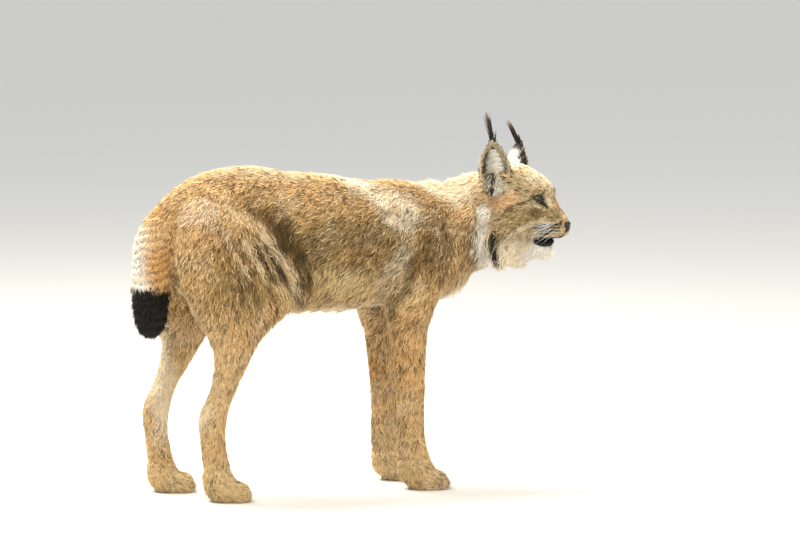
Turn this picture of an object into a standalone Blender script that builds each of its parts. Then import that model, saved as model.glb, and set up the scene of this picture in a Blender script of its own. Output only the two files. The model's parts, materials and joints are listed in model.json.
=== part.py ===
"""Eurasian lynx, standing with its head turned, life size.

Metres, +Z up, nose towards +X, the animal's left side at +Y. The forms are lofts and ellipsoids
fused by a voxel remesh, then parted into named nodes by thin cuts.
"""

import random
from math import cos, pi, radians, sin

import bmesh
import bpy
import numpy as np
from mathutils import Matrix, Vector
from mathutils.bvhtree import BVHTree

# ---------------------------------------------------------------- driving sizes, metres
WITHERS_HEIGHT = 0.578
CROUP_HEIGHT = 0.614
BELLY_HEIGHT = 0.341
CHEST_HALF_WIDTH = 0.100
TAIL_RADIUS = 0.032
TAIL_X = -0.408  # where the tail hangs
WRIST_HEIGHT = 0.060  # the paws' nodes end here
BLACK_TIP_HEIGHT = 0.392  # the tail is black below this
FORE_PAW_LEAD = 0.026  # how far the toes are ahead of the leg's last row
HIND_PAW_LEAD = 0.022
PAW_HALF_WIDTH = 0.036
STRIDE_LEFT_HIND = -0.056  # the left hind foot stands this far behind the right one
STRIDE_FROM = 0.50  # height below which the leg follows its foot back
STRIDE_SPAN = 0.30  # and how much lower it follows in full
NODE_GAP = 0.0003  # between nodes that touch

# The head's own frame has its origin at the nose tip, x forwards and y to the animal's left.
NOSE_TIP = Vector((0.388, -0.130, 0.500))
HEAD_YAW = radians(-45)  # it looks to the animal's right
HEAD_ROLL = radians(-4)
EYE_RADIUS = 0.0125
EYE_CENTRE = Vector((-0.0600, 0.0262, 0.0440))
EYE_LOOK = radians(35)  # outwards from straight ahead
LID_THICKNESS = 0.0022
EYE_OPENING = (0.0102, 0.0068)  # half its width and height
EYE_SLANT = radians(24)  # the inner corner is the lower one
EAR_BASE = Vector((-0.134, 0.055, 0.080))
EAR_TIP = Vector((-0.135, 0.070, 0.156))
EAR_OPENING = radians(60)  # outwards from straight ahead
EAR_THICKNESS = 0.0034
TUFT_LENGTH = 0.050
TUFT_LEAN = Vector((-0.34, -0.17, 1))  # back and towards the middle
NECK_END = Vector((-0.168, 0.0, 0.030))  # a point of the plane between neck and head
NECK_END_TILT = radians(14)
NECK_ROOT = Vector((0.172, 0.0, 0.490))  # a point of the plane between torso and neck, in the body's frame
NECK_ROOT_TILT = radians(20)

BODY_VOXEL = 0.005
HEAD_VOXEL = 0.0028
PAW_VOXEL = 0.0034
NOSE_VOXEL = 0.0011
BODY_TRIANGLES = 3700
HEAD_TRIANGLES = 2400
PAW_TRIANGLES = 310
NOSE_TRIANGLES = 220

LOCK_THICKNESS = 0.0045
LOCK_SINK = 0.009  # how deep a lock is rooted
LOCK_STEPS = 4
LOCK_CLEARANCE = 0.0016  # kept over the body's surface, besides half the lock's thickness

# Rows along the spine: x, height of the back, height of the belly, half width.
TRUNK = (
    (-0.390, 0.540, 0.455, 0.040),
    (-0.370, 0.564, 0.420, 0.066),
    (-0.340, 0.587, 0.380, 0.086),
    (-0.290, 0.607, 0.362, 0.096),
    (-0.220, CROUP_HEIGHT, 0.350, 0.097),
    (-0.140, 0.606, BELLY_HEIGHT + 0.002, CHEST_HALF_WIDTH),
    (-0.070, 0.599, BELLY_HEIGHT, 0.103),
    (0.000, 0.587, BELLY_HEIGHT + 0.003, 0.104),
    (0.060, 0.581, 0.348, 0.101),
    (0.110, WITHERS_HEIGHT, 0.352, 0.096),
    (0.160, 0.569, 0.360, 0.085),
    (0.200, 0.556, 0.378, 0.068),
    (0.230, 0.530, 0.410, 0.045),
)
# Rows along a limb: x, y, z, half width across, half depth fore and aft. Written for the left side.
NECK = (
    (0.120, 0.000, 0.470, 0.082, 0.098),
    (0.170, 0.000, 0.474, 0.078, 0.090),
    (0.208, 0.000, 0.480, 0.074, 0.083),
    (0.236, -0.001, 0.490, 0.072, 0.085),
    (0.262, -0.010, 0.506, 0.070, 0.089),
    (0.290, -0.034, 0.516, 0.068, 0.088),
)
FORELEG = (
    (0.108, 0.052, 0.530, 0.030, 0.052),
    (0.112, 0.068, 0.460, 0.042, 0.066),
    (0.098, 0.076, 0.400, 0.041, 0.060),
    (0.082, 0.075, 0.345, 0.035, 0.047),
    (0.082, 0.070, 0.290, 0.028, 0.033),
    (0.085, 0.067, 0.220, 0.024, 0.025),
    (0.087, 0.066, 0.140, 0.021, 0.022),
    (0.088, 0.066, 0.090, 0.022, 0.024),
    (0.096, 0.066, 0.052, 0.026, 0.028),
    (0.104, 0.067, 0.020, 0.030, 0.034),
)
HINDLEG = (
    (-0.300, 0.056, 0.555, 0.032, 0.064),
    (-0.290, 0.070, 0.510, 0.047, 0.092),
    (-0.2845, 0.078, 0.460, 0.053, 0.1065),
    (-0.265, 0.084, 0.405, 0.052, 0.110),
    (-0.259, 0.087, 0.365, 0.046, 0.098),
    (-0.270, 0.088, 0.335, 0.039, 0.074),
    (-0.274, 0.088, 0.310, 0.033, 0.053),
    (-0.276, 0.087, 0.280, 0.028, 0.037),
    (-0.284, 0.085, 0.245, 0.025, 0.027),
    (-0.298, 0.083, 0.205, 0.022, 0.022),
    (-0.316, 0.081, 0.158, 0.021, 0.025),
    (-0.315, 0.080, 0.105, 0.021, 0.021),
    (-0.306, 0.080, 0.055, 0.025, 0.024),
    (-0.296, 0.080, 0.020, 0.029, 0.032),
)
TAIL = (
    (-0.350, 0.000, 0.538, 0.030, 0.026),
    (-0.380, 0.000, 0.522, 0.032, 0.028),
    (-0.401, 0.000, 0.488, TAIL_RADIUS, 0.030),
    (TAIL_X, 0.000, 0.430, TAIL_RADIUS, TAIL_RADIUS),
    (TAIL_X, 0.000, 0.370, TAIL_RADIUS, TAIL_RADIUS),
    (TAIL_X, 0.000, 0.335, 0.028, 0.028),
    (TAIL_X, 0.000, 0.315, 0.017, 0.017),
    (TAIL_X, 0.000, 0.306, 0.004, 0.004),
)

# Rows of the head, in its own frame: x, height of the middle, half height, half width.
CRANIUM = (
    (-0.038, 0.046, 0.010, 0.018),
    (-0.046, 0.050, 0.024, 0.033),
    (-0.060, 0.049, 0.037, 0.046),
    (-0.085, 0.048, 0.053, 0.055),
    (-0.115, 0.046, 0.063, 0.059),
    (-0.145, 0.037, 0.067, 0.061),
    (-0.175, 0.018, 0.077, 0.066),
    (-0.205, 0.004, 0.082, 0.069),
)
MUZZLE = (
    (-0.003, -0.002, 0.007, 0.011),
    (-0.010, 0.000, 0.015, 0.018),
    (-0.021, 0.004, 0.023, 0.022),
    (-0.032, 0.010, 0.034, 0.025),
    (-0.048, 0.014, 0.041, 0.033),
    (-0.066, 0.013, 0.043, 0.043),
    (-0.088, 0.010, 0.046, 0.052),
)
JAW = (
    (-0.039, -0.050, 0.007, 0.009),
    (-0.045, -0.049, 0.013, 0.016),
    (-0.060, -0.046, 0.018, 0.025),
    (-0.085, -0.041, 0.024, 0.038),
    (-0.120, -0.026, 0.038, 0.050),
)
# The cup of an ear: share of its length, half width, depth of the cup, how far it wraps round in degrees.
EAR_ROWS = (
    (-0.22, 0.026, 0.020, 118),
    (0.00, 0.0295, 0.021, 112),
    (0.22, 0.0300, 0.020, 100),
    (0.45, 0.0270, 0.016, 88),
    (0.66, 0.0205, 0.011, 78),
    (0.84, 0.0125, 0.006, 72),
    (0.96, 0.0050, 0.002, 70),
)

# ---------------------------------------------------------------- modelling helpers
def clear_scene():
    for old in list(bpy.data.objects):
        bpy.data.objects.remove(old)


def collection(name, shown=True):
    made = bpy.data.collections.new(name)
    bpy.context.scene.collection.children.link(made)
    made.hide_render = not shown
    return made


def add(name, mesh, group):
    obj = bpy.data.objects.new(name, mesh)
    group.objects.link(obj)
    return obj


def mesh_of(bm, name):
    bmesh.ops.recalc_face_normals(bm, faces=bm.faces)
    mesh = bpy.data.meshes.new(name)
    bm.to_mesh(mesh)
    bm.free()
    return mesh


def smooth_rows(rows, steps):
    """Rows read from a Catmull-Rom curve through the given ones, with steps pieces to each stretch."""
    p = np.array(rows, float)
    p = np.vstack([2 * p[0] - p[1], p, 2 * p[-1] - p[-2]])
    made = []
    for i in range(1, len(p) - 2):
        for t in np.arange(steps) / steps:
            made.append(
                0.5
                * (
                    2 * p[i]
                    + (p[i + 1] - p[i - 1]) * t
                    + (2 * p[i - 1] - 5 * p[i] + 4 * p[i + 1] - p[i + 2]) * t**2
                    + (3 * p[i] - p[i - 1] - 3 * p[i + 1] + p[i + 2]) * t**3
                )
            )
    return np.array(made + [p[-2]])


def loft(name, centres, across, up, halves, group, sides=20, power=2.2):
    """A closed tube of superellipse sections. halves holds each section's half sizes along across and up."""
    bm = bmesh.new()
    rings = []
    for centre, a, u, (half_a, half_u) in zip(centres, across, up, halves):
        ring = []
        for k in range(sides):
            c, s = cos(2 * pi * k / sides), sin(2 * pi * k / sides)
            reach = (abs(c) ** power + abs(s) ** power) ** (-1 / power)
            ring.append(bm.verts.new(centre + a * (c * reach * half_a) + u * (s * reach * half_u)))
        rings.append(ring)
    for low, high in zip(rings, rings[1:]):
        for k in range(sides):
            j = (k + 1) % sides
            bm.faces.new((low[k], low[j], high[j], high[k]))
    bm.faces.new(rings[0][::-1])
    bm.faces.new(rings[-1])
    return add(name, mesh_of(bm, name), group)


def limb(name, rows, group, steps=4, side=Vector((0, 1, 0))):
    """A loft whose sections stand square to its own path."""
    table = smooth_rows(rows, steps)
    centres = [Vector(row[:3]) for row in table]
    across, up = [], []
    for i, centre in enumerate(centres):
        ahead = centres[min(i + 1, len(centres) - 1)] - centres[max(i - 1, 0)]
        ahead.normalize()
        a = (side - ahead * side.dot(ahead)).normalized()
        across.append(a)
        up.append(ahead.cross(a))
    return loft(name, centres, across, up, table[:, 3:5], group)


def column(name, rows, group):
    """A loft with level sections, for a limb that stands upright."""
    table = smooth_rows(rows, 4)
    centres = [Vector(row[:3]) for row in table]
    count = len(centres)
    return loft(name, centres, [Vector((0, 1, 0))] * count, [Vector((1, 0, 0))] * count, table[:, 3:5], group)


def trunk(group):
    table = smooth_rows(TRUNK, 4)
    centres = [Vector((x, 0, (top + low) / 2)) for x, top, low, _ in table]
    halves = [(half, (top - low) / 2) for _, top, low, half in table]
    count = len(centres)
    return loft("trunk", centres, [Vector((0, 1, 0))] * count, [Vector((0, 0, 1))] * count, halves, group, 28)


def head_loft(name, rows, group):
    """A loft in the head's own frame: x, height of the middle, half height, half width."""
    table = smooth_rows(rows, 4)
    centres = [Vector((x, 0, z)) for x, z, _, _ in table]
    halves = [(half_width, half_height) for _, _, half_height, half_width in table]
    count = len(centres)
    return loft(name, centres, [Vector((0, 1, 0))] * count, [Vector((0, 0, 1))] * count, halves, group, 24)


def ball(name, centre, radii, group, turn=Matrix(), segments=20):
    bm = bmesh.new()
    bmesh.ops.create_uvsphere(bm, u_segments=segments, v_segments=segments // 2, radius=1)
    matrix = Matrix.Translation(centre) @ turn @ Matrix.Diagonal((*radii, 1))
    bmesh.ops.transform(bm, matrix=matrix, verts=bm.verts)
    return add(name, mesh_of(bm, name), group)


def pair(name, centre, radii, group, turn=Matrix()):
    """The same ball on both sides of the middle."""
    flip = Matrix.Diagonal((1, -1, 1, 1))
    x, y, z = centre
    ball(f"{name}_left", (x, y, z), radii, group, turn)
    ball(f"{name}_right", (x, -y, z), radii, group, flip @ turn @ flip)


def settle(obj):
    """Applies the modifiers of obj."""
    graph = bpy.context.evaluated_depsgraph_get()
    graph.update()
    mesh = bpy.data.meshes.new_from_object(obj.evaluated_get(graph))
    obj.modifiers.clear()
    obj.data = mesh
    return obj


def empty_out(group):
    for obj in list(group.objects):
        bpy.data.objects.remove(obj)


def fuse(name, pieces, group, voxel, smoothing, triangles=None):
    """One soft body out of the closed pieces of a collection, which are removed."""
    bm = bmesh.new()
    for piece in pieces.objects:
        bm.from_mesh(piece.data)
    mesh = bpy.data.meshes.new(name)
    bm.to_mesh(mesh)
    bm.free()
    empty_out(pieces)
    obj = add(name, mesh, group)
    remesh = obj.modifiers.new("Fuse", "REMESH")
    remesh.mode = "VOXEL"
    remesh.voxel_size = voxel
    smooth = obj.modifiers.new("Soften", "SMOOTH")
    smooth.factor = 0.5
    smooth.iterations = smoothing
    settle(obj)
    if triangles:
        thin = obj.modifiers.new("Thin", "DECIMATE")
        thin.ratio = triangles / (2 * len(obj.data.polygons))
        settle(obj)
    return obj


def in_order(obj):
    """Sorts the points and faces of obj, which the exact solver leaves in another order each run."""
    points = [tuple(vert.co) for vert in obj.data.vertices]
    rank = {old: new for new, old in enumerate(sorted(range(len(points)), key=points.__getitem__))}
    faces = []
    for polygon in obj.data.polygons:
        corners = [rank[i] for i in polygon.vertices]
        first = corners.index(min(corners))
        faces.append(corners[first:] + corners[:first])
    mesh = bpy.data.meshes.new(obj.data.name)
    mesh.from_pydata(sorted(points), [], sorted(faces))
    obj.data = mesh
    return obj


def cut(obj, other, operation):
    """Applies one Boolean with another object."""
    boolean = obj.modifiers.new("Cut", "BOOLEAN")
    boolean.operation = operation
    boolean.object = other
    boolean.solver = "EXACT"
    return in_order(settle(obj))


def largest(obj):
    """Keeps the largest closed surface of obj."""
    bm = bmesh.new()
    bm.from_mesh(obj.data)
    left, shells = set(bm.verts), []
    while left:
        found, edge = set(), [left.pop()]
        while edge:
            vert = edge.pop()
            found.add(vert)
            for link in vert.link_edges:
                other = link.other_vert(vert)
                if other in left:
                    left.discard(other)
                    edge.append(other)
        shells.append(found)
    shells.sort(key=len)
    for shell in shells[:-1]:
        bmesh.ops.delete(bm, geom=list(shell), context="VERTS")
    bm.to_mesh(obj.data)
    bm.free()
    return obj


def slice_at(obj, point, normal):
    """Keeps what lies on the side that normal points to, with a flat cap on the plane."""
    bm = bmesh.new()
    bm.from_mesh(obj.data)
    whole = bm.verts[:] + bm.edges[:] + bm.faces[:]
    bmesh.ops.bisect_plane(bm, geom=whole, plane_co=point, plane_no=normal, clear_inner=True)
    rim = [edge for edge in bm.edges if edge.is_boundary]
    bmesh.ops.edgeloop_fill(bm, edges=rim)
    bmesh.ops.recalc_face_normals(bm, faces=bm.faces)
    bm.to_mesh(obj.data)
    bm.free()
    return obj


def wedge(name, near, far, group, grow=0.0):
    """A convex cutter between two four-cornered ends, with each face moved out by grow."""
    corners = [Vector(p) for p in (*near, *far)]
    faces = [(0, 1, 2, 3), (7, 6, 5, 4), (0, 4, 5, 1), (1, 5, 6, 2), (2, 6, 7, 3), (3, 7, 4, 0)]
    middle = sum(corners, Vector()) / 8
    planes = []
    for face in faces:
        a, b, c, d = (corners[i] for i in face)
        normal = (c - a).cross(d - b).normalized()
        centre = (a + b + c + d) / 4
        if normal.dot(centre - middle) < 0:
            normal = -normal
        planes.append((normal, normal.dot(centre) + grow))
    moved = []
    for i in range(8):
        three = [planes[f] for f, face in enumerate(faces) if i in face]
        moved.append(Vector(np.linalg.solve([tuple(n) for n, _ in three], [d for _, d in three])))
    bm = bmesh.new()
    verts = [bm.verts.new(p) for p in moved]
    for face in faces:
        bm.faces.new([verts[i] for i in face])
    made = add(name, mesh_of(bm, name), group)
    made.display_type = "WIRE"
    made.hide_render = True
    return made


def part_off(body, name, near, far, nodes, cutters):
    """Parts the piece of body inside the wedge from it, with the gap that touching nodes keep."""
    inner = wedge(f"{name}_inner", near, far, cutters, -NODE_GAP / 2)
    outer = wedge(f"{name}_outer", near, far, cutters, NODE_GAP / 2)
    piece = add(name, body.data.copy(), nodes)
    largest(cut(piece, inner, "INTERSECT"))
    largest(cut(body, outer, "DIFFERENCE"))
    return piece


def union(obj, pieces):
    """One closed body out of obj and the closed pieces of a collection, which are removed."""
    boolean = obj.modifiers.new("Union", "BOOLEAN")
    boolean.operation = "UNION"
    boolean.operand_type = "COLLECTION"
    boolean.collection = pieces
    boolean.solver = "MANIFOLD"
    settle(obj)
    empty_out(pieces)
    return largest(obj)


# ---------------------------------------------------------------- locks of hair
def strip(name, path, facing, width, thickness, group):
    """A flat tapered lock along a path, broadest at a third of its length and pointed at its end."""
    bm = bmesh.new()
    rings = []
    for i, point in enumerate(path[:-1]):
        t = i / (len(path) - 1)
        ahead = (path[i + 1] - path[max(i - 1, 0)]).normalized()
        side = ahead.cross(facing).normalized()
        flat = side.cross(ahead)
        half = width / 2 * (0.72 + 0.28 * min(1, t * 3)) * (1 - t**2.2)
        deep = thickness / 2 * (1 - 0.75 * t)
        corners = (side * half, flat * deep, -side * half, -flat * deep)
        rings.append([bm.verts.new(point + corner) for corner in corners])
    tip = bm.verts.new(path[-1])
    for low, high in zip(rings, rings[1:]):
        for k in range(4):
            j = (k + 1) % 4
            bm.faces.new((low[k], low[j], high[j]))
            bm.faces.new((low[k], high[j], high[k]))
    for k in range(4):
        bm.faces.new((rings[-1][k], rings[-1][(k + 1) % 4], tip))
    bm.faces.new(rings[0][::-1])
    return add(name, mesh_of(bm, name), group)


def tree_of(obj):
    return BVHTree.FromPolygons([v.co for v in obj.data.vertices], [p.vertices for p in obj.data.polygons])


def pushed_clear(point, tree, clearance):
    """The point moved straight out of a surface until it's clear of it."""
    for _ in range(2):
        on, normal, _, _ = tree.find_nearest(point)
        point = point + normal * max(0.0, clearance - (point - on).dot(normal))
    return point


def is_rooted(own, point, side):
    """Whether a lock's root lies well inside its node, with both of its edges."""
    for corner in (point - side, point, point + side):
        on, normal, _, distance = own.find_nearest(corner)
        if (corner - on).dot(normal) > 0 or distance < LOCK_SINK / 3:
            return False
    return True


def grow_locks(obj, spots, surface, outer, pieces, lift=0.45):
    """Fuses locks into obj. A spot has a place near the surface, the way the hair lies, a length and a width.
    Past their roots they stay outside outer, the surface of the body as it was before it was parted."""
    own = tree_of(obj)
    for k, (place, lie, length, width) in enumerate(spots):
        draw = random.Random(k * 7 + len(spots))
        on, normal, _, _ = surface.find_nearest(place)
        lie = (lie + Vector([draw.uniform(-0.10, 0.10) for _ in range(3)])).normalized()
        tangent = (lie - normal * lie.dot(normal)).normalized()
        reach = length * draw.uniform(0.85, 1.12) + LOCK_SINK
        thickness = LOCK_THICKNESS * draw.uniform(0.9, 1.15)
        path = [on - normal * LOCK_SINK]
        if not is_rooted(own, path[0], tangent.cross(normal) * width * 0.36):
            continue
        for i in range(LOCK_STEPS):
            t = (i + 0.5) / LOCK_STEPS
            way = tangent * (0.5 + 0.5 * t) + normal * (lift * (1 - t)) + lie * 0.6 * t
            path.append(path[-1] + way.normalized() * reach / LOCK_STEPS)
        clearance = LOCK_CLEARANCE + thickness / 2
        path[2:] = [pushed_clear(point, outer, clearance) for point in path[2:]]
        strip(f"lock_{k}", path, normal, width * draw.uniform(0.85, 1.1), thickness, pieces)
    return union(obj, pieces)


def finish(obj, colour, roughness=0.9):
    """Gives obj flat triangles and a material of its own."""
    bm = bmesh.new()
    bm.from_mesh(obj.data)
    bmesh.ops.triangulate(bm, faces=bm.faces)
    bm.to_mesh(obj.data)
    bm.free()
    material = bpy.data.materials.new(obj.name)
    material.use_nodes = True
    shader = material.node_tree.nodes["Principled BSDF"]
    shader.inputs["Base Color"].default_value = (*colour, 1)
    shader.inputs["Roughness"].default_value = roughness
    material.diffuse_color = (*colour, 1)
    obj.data.materials.clear()
    obj.data.materials.append(material)


# ---------------------------------------------------------------- the body
def mirrored(rows):
    return [(x, -y, *rest) for x, y, *rest in rows]


def sided(rows, side):
    """Rows written for the left side, for either one. The left hind foot stands further back."""
    return rows if side == "left" else mirrored(rows)


def stride_share(height):
    """How much of the foot's stride the hind leg takes at a height."""
    return min(1.0, max(0.0, (STRIDE_FROM - height) / STRIDE_SPAN))


def hind_rows(side):
    """The hind leg's rows, with the foot moved by its stride and the knee by a part of it."""
    stride = STRIDE_LEFT_HIND if side == "left" else 0.0
    return sided([(row[0] + stride * stride_share(row[2]), *row[1:]) for row in HINDLEG], side)


def build_body(nodes, pieces):
    trunk(pieces)
    limb("neck", NECK, pieces)
    limb("tail", TAIL, pieces)
    for side in ("left", "right"):
        column(f"foreleg_{side}", sided(FORELEG, side), pieces)
        column(f"hindleg_{side}", hind_rows(side), pieces)
    pair("shoulder_blade", (0.070, 0.040, 0.520), (0.060, 0.024, 0.060), pieces)
    pair("shoulder", (0.120, 0.066, 0.455), (0.064, 0.034, 0.085), pieces)
    pair("haunch", (-0.296, 0.060, 0.500), (0.080, 0.040, 0.084), pieces)
    pair("flank", (-0.165, 0.070, 0.415), (0.060, 0.030, 0.062), pieces)
    ball("chest", (0.168, 0, 0.432), (0.076, 0.066, 0.076), pieces)
    return fuse("torso", pieces, nodes, BODY_VOXEL, 16, BODY_TRIANGLES)


def box_ends(x, y, z):
    """The lower and upper ends of an upright box between the given pairs."""
    return [[(x[0], y[0], h), (x[1], y[0], h), (x[1], y[1], h), (x[0], y[1], h)] for h in z]


def part_neck(body, nodes):
    """Between a slanted plane at the chest and the plane behind the head."""
    forwards = Vector((cos(NECK_ROOT_TILT), 0, sin(NECK_ROOT_TILT)))
    neck = add("neck", body.data.copy(), nodes)
    slice_at(neck, NECK_ROOT + forwards * NODE_GAP / 2, forwards)
    point, normal = neck_end()
    slice_at(neck, point - normal * NODE_GAP / 2, -normal)
    slice_at(body, NECK_ROOT - forwards * NODE_GAP / 2, -forwards)
    return largest(neck)


def part_tail(body, nodes, cutters):
    near, far = box_ends((-0.55, -0.372), (-0.075, 0.075), (0.22, 0.53))
    far[1], far[2] = (-0.392, -0.075, 0.575), (-0.392, 0.075, 0.575)
    tail = part_off(body, "tail", near, far, nodes, cutters)
    tip = box_ends((-0.55, -0.3), (-0.1, 0.1), (0.2, BLACK_TIP_HEIGHT))
    return tail, part_off(tail, "tail_tip", *tip, nodes, cutters)


# Each leg's wedge: rear and front x at the wrist and at the top, y of its inner face there, rear and front
# height of its top.
LEG_WEDGES = {
    "foreleg": ((-0.02, 0.24), (0.02, 0.22), (0.012, 0.012), (0.385, 0.430)),
    "hindleg": ((-0.48, -0.07), (-0.43, -0.15), (0.010, 0.030), (0.500, 0.560)),
}
BESIDE_BODY = 0.2  # y outside the body


def part_leg(body, name, side, nodes, cutters):
    """The leg from its wrist or hock to a slanted plane high on the body."""
    low_x, high_x, inner_y, top = LEG_WEDGES[name]
    way = 1 if side == "left" else -1
    inner = [way * y for y in inner_y]
    outer = way * BESIDE_BODY
    low = [(low_x[0], inner[0]), (low_x[1], inner[0]), (low_x[1], outer), (low_x[0], outer)]
    high = [(high_x[0], inner[1], top[0]), (high_x[1], inner[1], top[1])]
    high += [(high_x[1], outer, top[1]), (high_x[0], outer, top[0])]
    return part_off(body, f"{name}_{side}", [(x, y, WRIST_HEIGHT) for x, y in low], high, nodes, cutters)


def part_legs(body, nodes, cutters):
    return [part_leg(body, name, side, nodes, cutters) for side in ("left", "right") for name in LEG_WEDGES]


def build_paw(name, rows, lead, nodes, pieces):
    """The pad of a foot and its four toes, under the last rows of its leg, with a flat sole at the floor."""
    x, y = rows[-1][:2]
    column("wrist", rows[-4:], pieces)
    ball("pad", (x + lead * 0.35, y, 0.021), (0.034, PAW_HALF_WIDTH * 0.92, 0.025), pieces)
    for k, (spread, reach) in enumerate(((-0.72, 1.05), (-0.25, 1.28), (0.25, 1.28), (0.72, 1.05))):
        toe = (x + lead * reach, y + spread * PAW_HALF_WIDTH, 0.0155)
        ball(f"toe_{k}", toe, (0.0215, 0.0112, 0.0175), pieces)
    paw = fuse(name, pieces, nodes, PAW_VOXEL, 2, PAW_TRIANGLES)
    slice_at(paw, Vector((0, 0, WRIST_HEIGHT - NODE_GAP)), Vector((0, 0, -1)))
    slice_at(paw, Vector((0, 0, 0)), Vector((0, 0, 1)))
    return paw


def build_paws(nodes, pieces):
    made = []
    for side in ("left", "right"):
        made.append(build_paw(f"forepaw_{side}", sided(FORELEG, side), FORE_PAW_LEAD, nodes, pieces))
        made.append(build_paw(f"hindpaw_{side}", hind_rows(side), HIND_PAW_LEAD, nodes, pieces))
    return made


# ---------------------------------------------------------------- the head
def head_frame():
    turn = Matrix.Rotation(HEAD_YAW, 4, "Z") @ Matrix.Rotation(HEAD_ROLL, 4, "X")
    return Matrix.Translation(NOSE_TIP) @ turn


def neck_end():
    """A point and the normal of the plane between neck and head."""
    forwards = Vector((cos(NECK_END_TILT), 0, sin(NECK_END_TILT)))
    return head_frame() @ NECK_END, head_frame().to_3x3() @ forwards


def swell(obj, amount):
    """Moves the surface of obj out by amount."""
    displace = obj.modifiers.new("Swell", "DISPLACE")
    displace.strength = amount
    displace.mid_level = 0
    return settle(obj)


def clearance_of(obj, group):
    """A copy of obj that is wider by the gap between nodes, as a cutter."""
    made = add(f"{obj.name}_clearance", obj.data.copy(), group)
    made.display_type = "WIRE"
    made.hide_render = True
    return swell(made, NODE_GAP)


def build_head_mass(nodes, pieces):
    """The large forms blend widely, and then the small ones are set on them."""
    head_loft("cranium", CRANIUM, pieces)
    head_loft("muzzle", MUZZLE, pieces)
    head_loft("jaw", JAW, pieces)
    pair("brow", (-0.057, 0.024, 0.056), (0.015, 0.019, 0.011), pieces)
    pair("cheekbone", (-0.082, 0.036, 0.014), (0.036, 0.022, 0.030), pieces)
    pair("cheek", (-0.101, 0.040, -0.018), (0.041, 0.031, 0.046), pieces)
    pair("ruff", (-0.124, 0.045, -0.032), (0.036, 0.032, 0.055), pieces)
    ball("throat", (-0.112, 0, -0.038), (0.048, 0.048, 0.046), pieces)
    pair("ear_root", (-0.138, 0.046, 0.070), (0.036, 0.024, 0.030), pieces)
    pair("ear_back", (-0.158, 0.050, 0.058), (0.024, 0.024, 0.036), pieces)
    fuse("head_mass", pieces, pieces, HEAD_VOXEL * 1.3, 14)
    pair("whisker_pad", (-0.0250, 0.0140, -0.0110), (0.0210, 0.0165, 0.0145), pieces)
    ball("bridge", (-0.0130, 0, 0.0050), (0.0110, 0.0125, 0.0110), pieces)
    ball("chin", (-0.0530, 0, -0.0480), (0.0140, 0.0170, 0.0145), pieces)
    pair("lids", EYE_CENTRE, [EYE_RADIUS + LID_THICKNESS] * 3, pieces)
    return fuse("head", pieces, nodes, HEAD_VOXEL, 4, HEAD_TRIANGLES)


def eye_turn(way):
    """Turns x to the eye's line of sight and y along its opening."""
    return Matrix.Rotation(way * EYE_LOOK, 4, "Z") @ Matrix.Rotation(way * EYE_SLANT, 4, "X")


def build_eye(side, head, nodes, cutters):
    """The eyeball in its socket, seen between the lids."""
    way = 1 if side == "left" else -1
    centre = Vector((EYE_CENTRE.x, way * EYE_CENTRE.y, EYE_CENTRE.z))
    eye = ball(f"eye_{side}", centre, [EYE_RADIUS] * 3, nodes, eye_turn(way), 20)
    socket = ball(f"socket_{side}", centre, [EYE_RADIUS + NODE_GAP] * 3, cutters, eye_turn(way), 20)
    across, high = EYE_OPENING
    ahead = centre + (eye_turn(way) @ Vector((EYE_RADIUS, 0, 0)))
    opening = ball(f"opening_{side}", ahead, (0.012, across, high), cutters, eye_turn(way), 16)
    for cutter in (socket, opening):
        cutter.display_type = "WIRE"
        cutter.hide_render = True
        cut(head, cutter, "DIFFERENCE")
    return eye


def build_nose(head, nodes, pieces, cutters):
    """The bare nose pad with its nostrils, let into the end of the muzzle."""
    ball("pad", (-0.0065, 0, 0.0015), (0.0075, 0.0125, 0.0068), pieces)
    ball("wedge", (-0.0085, 0, -0.0060), (0.0070, 0.0060, 0.0080), pieces)
    nose = fuse("nose", pieces, nodes, NOSE_VOXEL, 3, NOSE_TRIANGLES)
    cut(head, clearance_of(nose, cutters), "DIFFERENCE")
    for way in (1, -1):
        turn = Matrix.Rotation(way * radians(50), 4, "Z")
        place = (-0.0005, way * 0.0075, -0.0005)
        nostril = ball(f"nostril_{way}", place, (0.0045, 0.0026, 0.0022), cutters, turn, 12)
        nostril.display_type = "WIRE"
        nostril.hide_render = True
        cut(nose, nostril, "DIFFERENCE")
    return largest(nose)


def ear_axes(way):
    """Along the ear, out of its opening and across it, in the head's frame."""
    base = Vector((EAR_BASE.x, way * EAR_BASE.y, EAR_BASE.z))
    along = Vector((EAR_TIP.x, way * EAR_TIP.y, EAR_TIP.z)) - base
    out = Vector((cos(EAR_OPENING), way * sin(EAR_OPENING), 0))
    out = (out - along * out.dot(along) / along.length_squared).normalized()
    return base, along, out, along.normalized().cross(out)


def ear_cup(name, way, group):
    """An open cup with solid walls."""
    base, along, out, across = ear_axes(way)
    bm = bmesh.new()
    rows = []
    for share, half, depth, wrap in smooth_rows(EAR_ROWS, 2):
        row = []
        for turn in np.linspace(-radians(wrap), radians(wrap), 9):
            point = base + along * share + across * (half * sin(turn)) - out * (depth * cos(turn))
            row.append(bm.verts.new(point))
        rows.append(row)
    for low, high in zip(rows, rows[1:]):
        for k in range(len(low) - 1):
            bm.faces.new((low[k], low[k + 1], high[k + 1], high[k]))
    bmesh.ops.triangulate(bm, faces=bm.faces)
    ear = add(name, mesh_of(bm, name), group)
    wall = ear.modifiers.new("Wall", "SOLIDIFY")
    wall.thickness = EAR_THICKNESS
    wall.offset = 0
    return settle(ear)


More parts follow.
